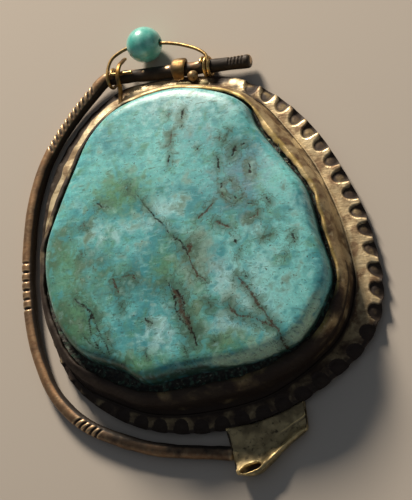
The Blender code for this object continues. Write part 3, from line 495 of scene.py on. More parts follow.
stone = {
    "around": 660, "rows": 100, "centre": 0.012, "top": 7.28, "shoulderHeight": 6.74,
    "shoulderInset": 1.5, "crownPower": 2.0,
    "easeRounds": 900, "easeFrom": (0.35, 1.0),  # the outline's corners fade out towards the middle
    "shoulder": [
        (1.1, plateTop), (0.45, 1.6), (0.02, 3.3), (0.0, 4.6), (0.03, 5.3), (0.11, 5.75), (0.28, 6.14),
        (0.56, 6.44), (0.98, 6.63), (1.5, 6.74),
    ],
    "swells": [  # x, y, reach, rise
        (-7.0, 8.0, 6.0, 0.10), (6.0, -6.0, 5.0, 0.08), (6.5, 7.5, 3.0, -0.16), (-6.0, -8.0, 4.5, -0.12),
    ],
    "facetSize": 6.0, "facetHeight": 0.05, "rippleSize": 1.6, "rippleHeight": 0.012, "veinGroove": 0.010,
    "sideSize": 3.0, "sideWave": 0.04,
    "softSide": (155.0, 45.0, 0.5),  # where the shoulder is rounder, how far round, by how much
    "tightSide": (-50.0, 52.0, 0.3, 0.05),  # where it is tighter, how far round, by what share, how low
    "thinMark": 0.3, "thinMarkWidth": 1.2,  # marks thinner than this are drawn wider by this much
    "markWander": [(0.8, 0.14, 11), (0.3, 0.06, 13)],  # size, how far, seed
    "stainReach": (0.42, 2.0),  # beside the thinnest mark, and how much more for a wider one
    "stainStrength": (0.5, 1.2, 0.95),  # the same for its strength, and the most it may be
    "zones": {  # x, y, reach across, reach along, strength
        "green": [(-8.0, 5.8, 3.8, 2.6, 0.95), (-13.2, -7.6, 3.4, 4.6, 1.0), (-6.5, -13.6, 5.0, 2.0, 0.9),
                  (-2.6, -3.2, 2.4, 2.6, 0.75), (3.4, -12.4, 4.0, 1.9, 0.75), (0.8, -9.0, 1.8, 4.0, 0.7),
                  (-9.6, -3.0, 3.4, 2.2, 0.5), (-14.4, -1.5, 2.8, 6.0, 0.75)],
        "moss": [(-16.6, -1.0, 2.2, 7.0, 0.7), (-14.8, -7.4, 2.6, 4.0, 0.75), (-10.6, -11.6, 3.4, 2.4, 0.7),
                 (-15.4, 8.0, 1.2, 4.0, 0.6), (-9.2, -5.4, 2.6, 1.8, 0.4), (0.6, -12.6, 2.2, 2.4, 0.6),
                 (-14.6, 2.0, 2.6, 2.8, 0.55), (-10.9, -1.2, 3.2, 2.6, 0.6), (-7.4, -4.5, 3.2, 2.2, 0.65),
                 (0.5, -11.2, 1.4, 2.6, 0.85), (-4.2, -5.0, 2.0, 1.6, 0.5), (-10.8, -4.4, 2.6, 2.2, 0.6),
                 (4.8, 3.8, 2.2, 2.4, 0.45), (6.6, 0.9, 2.4, 1.5, 0.45)],
        "blueGrey": [(5.8, 5.6, 3.6, 4.6, 0.85), (1.0, 11.0, 3.6, 2.0, 0.35), (3.2, -3.6, 1.5, 2.6, 0.35)],
        "tan": [(0.7, -3.4, 2.2, 3.8, 0.95), (1.0, -0.8, 2.4, 2.2, 0.8), (4.6, -7.6, 1.8, 1.6, 0.6),
                (0.9, -9.0, 1.0, 3.0, 0.6), (7.2, -9.0, 1.4, 1.2, 0.5), (-12.0, 2.0, 1.6, 1.4, 0.45)],
        # The pale spots along the top edge and from x 6 rightwards also brighten where the lamp's light
        # falls: painted light over the stone's own pale mottling
        "pale": [(-0.5, 15.6, 6.0, 1.6, 1.0), (4.4, 13.8, 2.2, 1.6, 0.8), (-9.0, 1.4, 3.2, 1.5, 0.7),
                 (-3.4, -10.4, 2.4, 2.8, 0.75), (3.8, -5.4, 2.8, 2.6, 0.8), (-3.0, 2.8, 2.2, 2.4, 0.7),
                 (6.4, -1.2, 3.4, 2.2, 0.5), (8.4, -4.6, 3.0, 2.4, 0.75), (8.4, -7.6, 3.6, 3.2, 0.95),
                 (4.2, -10.6, 2.4, 1.8, 0.7), (12.4, 1.8, 1.8, 3.2, 0.5), (-0.5, 13.4, 5.0, 2.0, 0.45)],
        "aqua": [(10.8, -7.0, 3.8, 4.4, 1.0), (9.4, 4.2, 2.4, 4.0, 0.9), (11.6, -1.6, 2.8, 4.0, 0.95),
                 (6.4, -2.6, 3.4, 3.0, 0.75), (-3.0, 9.0, 4.4, 4.0, 0.8), (-10.0, 9.0, 3.4, 3.0, 0.7),
                 (5.0, 12.2, 2.6, 2.4, 0.7)],
    },
    "marks": [  # vein, half its width, its route
        ("dark", 0.16, [(-0.8, 14.5), (-1.0, 13.4)]),
        ("dark", 0.13, [(-2.7, 14.0), (-2.4, 14.3)]),
        ("dark", 0.10, [(-0.9, 12.8), (-0.9, 12.5)]),
        ("rust", 0.19, [(-2.1, 12.0), (-2.2, 10.4)]),
        ("dark", 0.14, [(-2.2, 9.2), (-2.2, 8.4)]),
        ("dark", 0.10, [(3.4, 10.8), (3.4, 10.3)]),
        ("olive", 0.16, [(4.4, 11.2), (3.8, 9.8)]),
        ("dark", 0.32, [(5.2, 9.2), (4.8, 8.2)]),
        ("dark", 0.13, [(5.8, 9.3), (6.2, 9.4)]),
        ("dark", 0.10, [(0.9, 9.7), (0.9, 9.5)]),
        ("dark", 0.16, [(3.1, 8.4), (3.4, 6.8)]),
        ("dark", 0.23, [(6.6, 7.1), (6.9, 5.8)]),
        ("dark", 0.17, [(3.7, 5.3), (3.6, 4.7)]),
        ("rust", 0.17, [(3.7, 4.1), (4.0, 3.7)]),
        ("dark", 0.16, [(5.1, 3.6), (5.4, 3.1)]),
        ("dark", 0.16, [(8.6, 2.9), (8.9, 2.2)]),
        ("dark", 0.10, [(6.6, 2.6), (7.2, 2.3)]),
        ("rust", 0.18, [(7.8, 1.7), (7.6, 1.1), (6.9, 0.8)]),
        ("rust", 0.17, [(2.7, 3.1), (1.9, 2.2), (1.1, 1.6)]),
        ("rust", 0.21, [(3.1, 0.9), (3.8, 0.5), (4.6, -0.0)]),
        ("olive", 0.21, [(8.1, -1.6), (9.1, -1.3)]),
        ("dark", 0.10, [(5.2, -1.3), (5.3, -1.7)]),
        ("dark", 0.17, [(11.3, -1.4), (11.5, -2.4)]),
        ("dark", 0.12, [(10.5, -3.4), (10.3, -3.9)]),
        ("dark", 0.09, [(5.7, -2.5), (5.7, -3.2)]),
        ("dark", 0.13, [(6.4, -5.5), (6.6, -5.8)]),
        ("olive", 0.17, [(-7.1, 6.7), (-7.1, 6.0)]),
        ("dark", 0.16, [(-10.6, 5.2), (-10.0, 4.8), (-9.3, 4.7)]),
        ("olive", 0.13, [(-5.9, 5.5), (-5.0, 4.1), (-4.2, 3.1)]),
        ("dark", 0.10, [(-4.6, 3.6), (-4.2, 3.1), (-3.3, 2.1), (-2.6, 1.2), (-1.9, 0.2)]),
        ("dark", 0.18, [(-1.9, 0.2), (-0.9, -0.7), (-0.3, -1.6), (-0.1, -2.3)]),
        ("rust", 0.42, [(-0.2, -1.5), (0.3, -1.2), (-0.0, -2.1)]),
        ("rust", 0.13, [(-0.1, -2.3), (0.3, -3.2), (0.6, -4.0), (1.2, -4.7), (1.9, -5.3)]),
        ("rust", 0.19, [(-12.1, 3.2), (-11.9, 2.8)]),
        ("rust", 0.13, [(-12.4, -0.1), (-12.4, -0.3)]),
        ("rust", 0.12, [(-7.6, -3.5), (-6.8, -3.4), (-6.3, -3.6), (-5.9, -4.1)]),
        ("rust", 0.19, [(-8.7, -3.6), (-8.4, -4.3), (-8.0, -5.0)]),
        ("olive", 0.21, [(-7.5, -6.4), (-7.8, -7.2)]),
        ("dark", 0.12, [(-5.0, -8.3), (-4.6, -8.7), (-4.1, -9.1)]),
        ("dark", 0.17, [(-13.1, -5.1), (-12.5, -5.7), (-11.8, -6.2), (-11.1, -6.9), (-10.8, -7.7)]),
        ("dark", 0.14, [(-10.8, -7.7), (-10.4, -9.0), (-9.9, -9.9), (-9.4, -10.7), (-9.1, -11.7)]),
        ("dark", 0.12, [(-11.4, -7.3), (-11.3, -8.5), (-11.0, -9.6), (-10.3, -10.7), (-9.6, -11.7)]),
        ("dark", 0.25, [(-11.2, -7.3), (-10.7, -7.6)]),
        ("dark", 0.16, [(-10.7, -10.8), (-10.1, -11.2)]),
        ("dark", 0.15, [(-2.7, -4.7), (-2.1, -5.3), (-1.9, -6.0), (-1.6, -7.0), (-1.3, -8.4),
            (-0.8, -9.4), (-0.1, -10.2), (0.2, -10.9)]),
        ("rust", 0.56, [(-1.9, -5.4), (-1.2, -6.4), (-0.9, -7.6), (-0.7, -8.7), (-0.1, -9.9),
            (0.2, -10.5)]),
        ("dark", 0.13, [(-1.5, -5.6), (-0.9, -6.6), (-0.5, -8.0), (0.0, -9.2)]),
        ("olive", 0.10, [(3.7, 5.2), (4.5, 5.5), (5.7, 4.4), (6.0, 3.2), (5.2, 2.7), (4.0, 3.3),
            (3.5, 4.3)]),
        ("olive", 0.10, [(6.9, 0.4), (7.4, 1.2), (7.8, 1.8)]),
        ("dark", 0.09, [(4.3, 3.7), (5.0, 3.2)]),
        ("olive", 0.11, [(-12.0, -9.3), (-11.4, -10.1), (-10.6, -10.8)]),
        ("olive", 0.12, [(-9.6, -9.0), (-9.1, -10.2), (-8.7, -11.1)]),
        ("olive", 0.14, [(-0.5, -12.0), (-0.2, -13.4)]),
        ("dark", 0.12, [(-0.3, -9.1), (0.1, -10.0), (0.6, -11.1), (0.8, -12.2)]),
        ("dark", 0.16, [(2.6, -11.9), (2.8, -12.1)]),
        ("dark", 0.10, [(-4.9, -12.1), (-4.8, -12.7)]),
        ("dark", 0.10, [(-6.9, -12.7), (-6.7, -12.9)]),
        ("rust", 0.21, [(4.3, -8.2), (4.8, -8.9), (5.4, -9.5), (6.7, -9.9), (8.0, -10.6), (9.6, -11.5)]),
        ("rust", 0.18, [(5.4, -5.5), (6.3, -6.6), (6.9, -7.5), (7.6, -8.6), (8.1, -9.5), (8.9, -10.6),
            (9.6, -11.5)]),
        ("rust", 0.15, [(9.6, -11.5), (9.9, -12.5), (10.0, -13.5)]),
        ("olive", 0.32, [(2.2, -7.7), (2.4, -8.5)]),
    ],
}


# How near each direction is to one side, `middle` degrees round, from 0 to 1
def sideShare(angles, middle, spread):
    turned = (np.degrees(angles) - middle + 180) % 360 - 180
    return np.exp(-(turned / spread) ** 2)


# The stone's smooth shape, and how far each row belongs to its top
def shapeStone(angles):
    edge = radiusAt("stone", angles)
    side = splinePoints(stone["shoulder"], 4, False)
    shares = np.linspace(1, stone["centre"], stone["rows"])[1:] ** 0.85
    crown = stone["top"] - (stone["top"] - stone["shoulderHeight"]) * shares ** stone["crownPower"]
    eased = edge.copy()
    for _ in range(stone["easeRounds"]):
        eased = 0.5 * eased + 0.25 * (np.roll(eased, 1) + np.roll(eased, -1))
    keep = smoothStep(shares, *stone["easeFrom"])[:, None]
    inner = (edge * keep + eased * (1 - keep) - stone["shoulderInset"]) * shares[:, None]
    middle, spread, tighter, drop = stone["tightSide"]
    tight = sideShare(angles, middle, spread)
    inner += stone["shoulderInset"] * tighter * tight * shares[:, None]
    radii = np.concatenate([edge - side[:, :1] * (1 - tighter * tight), inner])
    levels = np.concatenate([side[:, 1], crown])[:, None]
    fall = np.concatenate([smoothStep(side[:, 1], 4.8, 6.7), shares ** 3])[:, None]
    middle, spread, ease = stone["softSide"]
    soft = ease * sideShare(angles, middle, spread) * smoothStep(levels, 3.6, 5.8)
    grid = ringGrid(angles, radii - soft * radii / edge, levels - drop * tight * fall)
    onTop = smoothStep(levels, 5.2, 6.6)
    for x, y, reach, rise in stone["swells"]:
        away = np.hypot(grid[..., 0] - x, grid[..., 1] - y)
        grid[..., 2] += onTop * rise * np.exp(-(away / reach) ** 2)
    return grid, onTop


# How far each point is from a route, and what share of its width a mark there keeps towards its ends
def measureRoute(points, route):
    spans = np.linalg.norm(np.diff(route, axis=0), axis=1)
    nearby = np.full(points.shape[:2], 9.0)
    taper = np.ones(points.shape[:2])
    passed = 0.0
    for start, end, span in zip(route, route[1:], spans):
        run = end - start
        share = np.clip(((points - start) @ run) / (run @ run), 0, 1)
        away = np.linalg.norm(points - start - share[..., None] * run, axis=-1)
        place = (passed + share * span) / spans.sum()
        taper = np.where(away < nearby, np.clip(0.45 + 5 * place * (1 - place), 0, 1), taper)
        nearby = np.minimum(nearby, away)
        passed += span
    return nearby, taper


# Veins with a stain round each, and the patches of colour
def markStone(grid):
    plan = grid[..., :2]
    height = grid[..., 2]
    fields = {name: np.zeros(height.shape) for name in ("veinDark", "veinRust", "veinOlive", "stain")}
    wander = np.zeros(plan.shape)
    for size, depth, seed in stone["markWander"]:
        wander += depth * np.stack([softNoise(grid, size, seed), softNoise(grid, size, seed + 1)], axis=-1)
    uneven = 0.72 + 0.5 * softNoise(grid, 0.7, 15) + 0.25 * softNoise(grid, 0.3, 16)
    near, wider = stone["stainReach"]
    faint, darker, darkest = stone["stainStrength"]
    for kind, halfWidth, route in stone["marks"]:
        nearby, taper = measureRoute(plan + wander, np.array(route))
        if halfWidth < stone["thinMark"]:
            halfWidth *= stone["thinMarkWidth"]
        mark = np.clip(1.1 - 0.6 * nearby / (0.85 * halfWidth * np.maximum(uneven, 0.2) * taper), 0, 1)
        strength = min(darkest, faint + darker * halfWidth)
        stain = strength * np.exp(-(nearby / (near + wider * halfWidth)) ** 2)
        for name, values in (("vein" + kind.title(), mark), ("stain", stain)):
            fields[name] = np.maximum(fields[name], values)
    for name, spots in stone["zones"].items():
        fields[name] = np.zeros(height.shape)
        for x, y, across, along, strength in spots:
            spot = ((plan[..., 0] - x) / across) ** 2 + ((plan[..., 1] - y) / along) ** 2
            fields[name] = np.maximum(fields[name], strength * np.exp(-spot))
    # Painted light in pale green on the lower right side, and painted shade low on the side, higher on the
    # lower left
    lower = 1 - smoothStep(plan[..., 1], -12.0, -6.0)
    fields["paintedLightLowRight"] = lower * smoothStep(plan[..., 0], -2.0, 5.0) * (1 - smoothStep(height, 6.4, 6.85))
    lowerLeft = lower * (1 - smoothStep(plan[..., 0], 0.5, 5.0))
    fields["paintedShadeLow"] = 1 - smoothStep(height, 4.2 + 1.4 * lowerLeft, 5.5 + 1.2 * lowerLeft)
    return fields


def makeStone():
    angles = np.linspace(0, 2 * math.pi, stone["around"], endpoint=False)
    grid, onTop = shapeStone(angles)
    fields = markStone(grid)
    lift = stone["facetHeight"] * softNoise(grid, stone["facetSize"], 3)
    lift += stone["rippleHeight"] * softNoise(grid, stone["rippleSize"], 4)
    lift -= stone["veinGroove"] * np.maximum(fields["veinDark"], 0.7 * fields["veinRust"]) * onTop
    grid[..., 2] += lift * onTop
    outward = np.stack([np.cos(angles), np.sin(angles)], axis=-1)
    wave = stone["sideWave"] * softNoise(grid, stone["sideSize"], 5) * (1 - onTop)
    grid[..., :2] += outward * wave[..., None]
    addPiece("turquoiseStone", grid, makeStoneMaterial(stoneLook), "setting", "turquoise_stone",
             fields=fields)


pitch = {
    "around": 600, "rows": 12, "top": 4.02, "bottom": 2.4, "climb": 0.3, "hollow": 0.175,
    "underStone": 0.05, "rimGap": 0.40, "least": 0.2, "crumb": 0.09, "crumbSize": 0.5,
    "greenPatch": (9.2, 9.2, 1.6), "greenRise": 0.25, "greenDust": 0.45,
}


def makePitch():
    angles = np.linspace(0, 2 * math.pi, pitch["around"], endpoint=False)
    inner = radiusAt("stone", angles) - pitch["underStone"]
    outer = np.maximum(radiusAt("rim", angles) - pitch["rimGap"], inner + pitch["least"])
    rows = [ringGrid(angles, inner, pitch["bottom"])]
    for share in np.linspace(0, 1, pitch["rows"]):
        sag = pitch["top"] + pitch["climb"] * (1 - share) ** 2 - pitch["hollow"] * math.sin(math.pi * share)
        rows.append(ringGrid(angles, inner + (outer - inner) * share, sag))
    rows.append(ringGrid(angles, outer, pitch["bottom"]))
    grid = np.array(rows)
    crumb = softNoise(grid, pitch["crumbSize"], 21) + 0.6 * softNoise(grid, pitch["crumbSize"] * 0.4, 22)
    grid[1:-1, :, 2] += pitch["crumb"] * crumb[1:-1]
    x, y, reach = pitch["greenPatch"]
    away = np.hypot(grid[..., 0] - x, grid[..., 1] - y)
    green = np.exp(-(away / reach) ** 2)
    grid[1:-1, :, 2] += (pitch["greenRise"] * green * (0.5 + crumb))[1:-1]
    addPiece("settingCement", grid, makePitchMaterial(pitchLook), "setting", "setting_pitch",
             closeRows=True, fields={"green": pitch["greenDust"] + green})


collet = {
    "around": 720,
    "profile": [  # share of the way from foot to rim, bulge, height
        (0.0, 0.0, plateTop), (0.0, 0.0, 1.22), (0.03, 0.0, 1.38), (0.18, -0.02, 1.75), (0.34, 0.04, 2.25),
        (0.5, 0.18, 2.8), (0.6, 0.27, 3.2), (0.7, 0.27, 3.55), (0.84, 0.22, 3.93), (0.96, 0.12, 4.22),
        (1.0, -0.06, 4.38), (1.0, -0.20, 4.41),
    ],
    "lip": [  # share of the way over the lip, height
        (0.0, 4.41), (0.35, 4.40), (0.75, 4.36), (0.95, 4.28), (1.0, 4.1), (1.0, 3.4), (1.0, plateTop),
    ],
    "wall": 0.42, "wideLip": 0.55, "wideFrom": (-50.0, 75.0), "lipGap": 0.36, "lipStart": 0.2,
    "leastLip": 0.3, "lipWander": 0.13, "dentSize": 2.6, "dent": 0.10, "hammerSize": 0.9, "hammer": 0.035,
    "rimSize": 1.3, "rimUneven": 0.12,
    "shadeBands": [(1.3, 0.35, 0.4, 0.45), (2.9, 0.3, 0.15, 0.5)],  # height, reach, painted shade, more of it below
    "shadeBelow": 0.78, "leftBrown": (0.78, 0.32), "lipTint": 0.75,
}


# Patchy dirt, painted shade in bands round the foot and the cove, below and on the lip's inner face, and
# brown on the left
# A painted highlight on the bulge, the foot and the right side, less of it below, and the lip's tint
def colletDirtAndLight(grid, angles, lipRow):
    height = grid[..., 2]
    below = smoothStep(-np.sin(angles), 0.1, 0.8)
    leftSide = smoothStep(-np.cos(angles), 0.1, 0.7)
    rightSide = smoothStep(np.cos(angles), 0.5, 0.9)
    dirtAndShade = 0.3 * softNoise(grid, 2.2, 34) + collet["shadeBelow"] * below
    for level, reach, darkening, more in collet["shadeBands"]:
        dirtAndShade += (darkening + more * below) * np.exp(-((height - level) / reach) ** 2)
    brown, patchy = collet["leftBrown"]
    dirtAndShade += leftSide * (brown + patchy * softNoise(grid, 1.7, 37))
    # Painted shade on the lip's inner face, going down beside the stone
    dirtAndShade[lipRow + 12:] = 0.9
    dirtAndShade[lipRow + 8:] += 0.45
    lipTop = np.zeros(dirtAndShade.shape)
    lipTop[lipRow - 8:lipRow + 8] = 1 - 0.85 * leftSide
    # Painted highlight on the bulge, the foot and the right side, kept off the bottom
    paintedSheen = 0.35 * smoothStep(height, 2.7, 3.5) * (1 - 0.8 * below)
    paintedSheen += 0.5 * (1 - smoothStep(height, 1.5, 2.4)) * (1 - below)
    paintedSheen += 0.9 * rightSide * (1 - below) * (1 - smoothStep(height, 2.8, 3.6))
    return {"dirtAndShade": dirtAndShade, "paintedSheen": paintedSheen, "tint": collet["lipTint"] * lipTop}


def makeCollet():
    angles = np.linspace(0, 2 * math.pi, collet["around"], endpoint=False)
    rim = radiusAt("rim", angles)
    foot = radiusAt("foot", angles)
    share, bulge, height = splinePoints(collet["profile"], 5, False).T[:, :, None]
    outside = ringGrid(angles, foot + (rim - foot) * share + bulge, height)
    signed = (np.degrees(angles) + 180) % 360 - 180
    low, high = collet["wideFrom"]
    wide = smoothStep(signed, low - 25, low + 10) * (1 - smoothStep(signed, high - 10, high + 25))
    thick = collet["wall"] + collet["wideLip"] * wide
    room = rim - radiusAt("stone", angles) - collet["lipGap"]
    rimTop = ringGrid(angles, rim, 4.4)
    uneven = softNoise(rimTop, 1.2, 35) + 0.6 * softNoise(rimTop, 0.5, 36)
    thick = np.maximum(np.minimum(thick, room) + collet["lipWander"] * uneven, collet["leastLip"])
    over, level = splinePoints(collet["lip"], 5, False)[1:].T[:, :, None]
    start = collet["lipStart"]
    inside = ringGrid(angles, rim - start - (thick - start) * over, level)
    grid = np.concatenate([outside, inside])
    dent = collet["dent"] * softNoise(grid, collet["dentSize"], 31)
    dent += collet["hammer"] * softNoise(grid, collet["hammerSize"], 32)
    dent *= smoothStep(grid[..., 2], 1.3, 1.9)
    grid[..., :2] += np.stack([np.cos(angles), np.sin(angles)], axis=-1) * dent[..., None]
    uneven = collet["rimUneven"] * softNoise(grid, collet["rimSize"], 33)
    grid[..., 2] += smoothStep(grid[..., 2], 3.4, 4.3) * uneven
    addPiece("collet", grid, castBronze, "setting", "collet", closeRows=True,
             fields=colletDirtAndLight(grid, angles, len(outside)), reliefRounds=20)


border = {
    "pits": 54, "columns": 16, "pitLength": 1.45, "pitDepth": 0.42, "ridgeInner": 0.80, "ridgeOuter": 0.52,
    "dome": 0.22, "turnedDown": 0.42, "wobble": 0.05, "wobbleSize": 1.4, "underCollet": 0.05,
    "unevenPlace": 0.07, "unevenLength": 0.10, "unevenDepth": 0.18,
    "plain": (75.0, 124.0), "shallow": (118.0, 200.0),  # degrees round
    "edge": [(0.06, -0.02), (0.16, 0.0), (0.3, 0.05), (0.5, 0.16)],  # how far down the edge, how far in
    "bottom": plateTop - 0.04,
}


# Dark in the pits, partly dirt and partly painted shade, with their middles lighter; blotchy dirt on the
# plain top
# A painted highlight on the flat between the pits, strongest on the worn stretch and kept off the bottom
# Painted shade by the wall, on the outer edge, over the outer part of the worn stretch and below
def borderDirtAndLight(top, angles, shares, width, worn, hollow, inPit):
    below = smoothStep(-np.sin(angles), 0.1, 0.8)
    wallShadow = 0.5 * np.exp(-(width * shares / 0.25) ** 2)
    crown = (0.34 + 0.36 * below) * np.exp(-(inPit / 0.74) ** 4)
    pitDirtAndShade = 0.9 * smoothStep(hollow, 0.06, 0.22) * (1 - crown)
    dirtAndShade = np.maximum(pitDirtAndShade, wallShadow) + 0.6 * smoothStep(shares, 0.82, 1.0) + 0.65 * below
    dirtAndShade += 1.4 * worn * smoothStep(shares + 0.12 * softNoise(top, 1.2, 42), 0.66, 0.8)
    plainTop = smoothStep(np.sin(angles), 0.86, 0.96)
    dirtAndShade += plainTop * (0.35 + 0.6 * softNoise(top, 1.0, 43))
    paintedSheen = (0.9 + 0.9 * worn) * (1 - smoothStep(hollow, 0.02, 0.16)) * smoothStep(shares, 0.02, 0.2)
    paintedSheen *= (1 - 0.5 * smoothStep(shares, 0.75, 1.0)) * (1 - 0.85 * below)
    return dirtAndShade, paintedSheen


def makeBorder():
    dense = np.linspace(0, 2 * math.pi, 2881)
    edge = radiusAt("border", dense)
    steps = np.hypot(np.diff(edge * np.cos(dense)), np.diff(edge * np.sin(dense)))
    run = np.concatenate([[0], np.cumsum(steps)])
    pitWidth = run[-1] / border["pits"]
    along = np.arange(border["pits"] * border["columns"]) * pitWidth / border["columns"]
    angles = np.interp(along, run, dense)
    outer = radiusAt("border", angles)
    inner = radiusAt("foot", angles) + border["underCollet"]
    width = outer - inner
    picks = np.random.default_rng(7).uniform(-1, 1, (border["pits"], 3))
    own = picks[(along / pitWidth).astype(int)]
    offset = (along / pitWidth % 1 - 0.5) * pitWidth + border["unevenPlace"] * own[:, 0]
    length = np.minimum(border["pitLength"] * (1 + border["unevenLength"] * own[:, 1]), width - 0.25)
    deepest = border["pitDepth"] * (1 + border["unevenDepth"] * own[:, 2])
    low, high = np.radians(border["plain"])
    deepest = np.where((angles > low) & (angles < high), 0.0, deepest)
    low, high = np.radians(border["shallow"])
    worn = smoothStep(angles, low - 0.1, low + 0.1) * (1 - smoothStep(angles, high - 0.2, high + 0.2))
    deepest = deepest * (1 - 0.8 * worn)
    length = length * (1 - 0.35 * worn)
    shares = np.concatenate([np.linspace(0, 0.25, 6, endpoint=False), np.linspace(0.25, 1, 36)])[:, None]
    inset = width * (1 - shares)
    wider = (border["ridgeInner"] - border["ridgeOuter"]) * np.clip(inset / length, 0, 1)
    half = (pitWidth - border["ridgeOuter"] - wider) / 2
    beyond = np.maximum(0, inset - np.maximum(length - half, 0))
    scoop = np.clip(1 - (np.hypot(offset, beyond) / half) ** 2.2, 0, 1) ** 0.75
    inPit = np.hypot(offset, inset - length * 0.48) / half
    dome = border["dome"] * (deepest / border["pitDepth"]) * np.exp(-(inPit / 0.62) ** 3)
    depth = deepest * scoop * (0.85 + 0.5 * shares ** 3) - dome
    slope = 0.16 * smoothStep(-inset, -1.2, 0.0)
    slope += border["turnedDown"] * worn * smoothStep(shares, 0.3, 1.0)
    top = ringGrid(angles, inner + width * shares, flangeTop - slope - depth)
    rows = [ringGrid(angles, inner, plateTop), *top]
    for drop, back in border["edge"]:
        height = np.maximum(top[-1][:, 2] - drop, border["bottom"])
        rows.append(ringGrid(angles, outer - 0.08 * scoop[-1] - back, height))
    rows.append(ringGrid(angles, outer - 0.2, border["bottom"]))
    grid = np.array(rows)
    grid[1:-1, :, 2] += (border["wobble"] * softNoise(grid, border["wobbleSize"], 41))[1:-1]
    dirtAndShade = np.zeros(grid.shape[:2])
    paintedSheen = np.zeros(grid.shape[:2])
    shown = slice(1, 1 + len(top))
    dirtAndShade[shown], paintedSheen[shown] = borderDirtAndLight(top, angles, shares, width, worn, scoop * deepest, inPit)
    # Painted shade on the turned-down outer edge, darker on the worn stretch
    dirtAndShade[1 + len(top):] = 0.8 + 0.5 * worn
    addPiece("gadroonedBorder", grid, castBronze, "setting", "gadrooned_border", closeRows=True,
             fields={"dirtAndShade": dirtAndShade, "paintedSheen": paintedSheen}, reliefRounds=14)


rod = {
    "radius": 0.76, "height": 1.26, "start": (-12.2, 22.6), "end": (4.7, 21.7), "sides": 40,
    "spacing": 0.075, "roundedEnd": 0.25,
    "route": [
        (-13.05, 22.2, 1.22), (-14.3, 21.05, 1.1), (-16.1, 19.2, 1.0), (-18.15, 16.6, 0.92),
        (-19.95, 13.4, 0.85), (-21.1, 9.4, 0.82), (-21.6, 4.8, 0.82), (-21.6, 0.0, 0.82),
        (-20.95, -5.4, 0.82), (-19.6, -10.0, 0.82), (-17.7, -13.7, 0.82), (-14.7, -16.75, 0.82),
        (-10.75, -18.95, 0.82), (-5.6, -20.75, 0.84), (2.45, -22.12, 0.86),
    ],
    "notches": [  # where a group starts and ends, how many, depth, half width, slant
        ((4.3, 21.7), (2.2, 21.8), 5, 0.16, 0.13, 0.0),
        ((-13.4, 21.6), (-19.0, 15.1), 12, 0.24, 0.20, 0.45),
        ((-21.6, 2.9), (-21.25, -3.4), 6, 0.17, 0.20, 0.12),
        ((-15.3, -16.2), (-12.4, -18.1), 5, 0.2, 0.22, 0.4),
    ],
    "dentSize": 2.0, "dent": 0.035, "hammerSize": 0.7, "hammer": 0.012, "blotchSize": 0.9,
    "roughStraight": 0.07, "roughLast": 0.045,
}


def rodPath():
    corner = np.array((*rod["start"], rod["height"]))
    straight = np.linspace((*rod["end"], rod["height"]), corner, 200, endpoint=False)
    bent = splinePoints([straight[-12], corner, *rod["route"]], 60, False)[60:]
    return evenPath(np.concatenate([straight, bent]), rod["spacing"])


# Painted shade on the side towards the stone, over most of the tip, on top of the straight part and along
# the lower end's outer side.
# `run` is how far each row is along the rod, from its tip at the upper right.
def rodPaintedShade(run, facing, upward):
    tip = 1 - smoothStep(run, 4.5, 6.0)
    bend = smoothStep(run, 16.0, 19.0) * (1 - smoothStep(run, 27.0, 32.0))
    dirtAndShade = 0.95 * smoothStep(facing, 0.3 - 1.35 * tip + 0.15 * bend, 0.75 - 0.95 * tip + 0.1 * bend)
    dirtAndShade += 0.4 * (1 - smoothStep(run, 15.0, 19.0)) * smoothStep(upward, 0.0, 0.6)
    dirtAndShade += 0.6 * smoothStep(run, run[-1] - 22.0, run[-1] - 12.0) * smoothStep(facing, -1.0, -0.3)
    return dirtAndShade


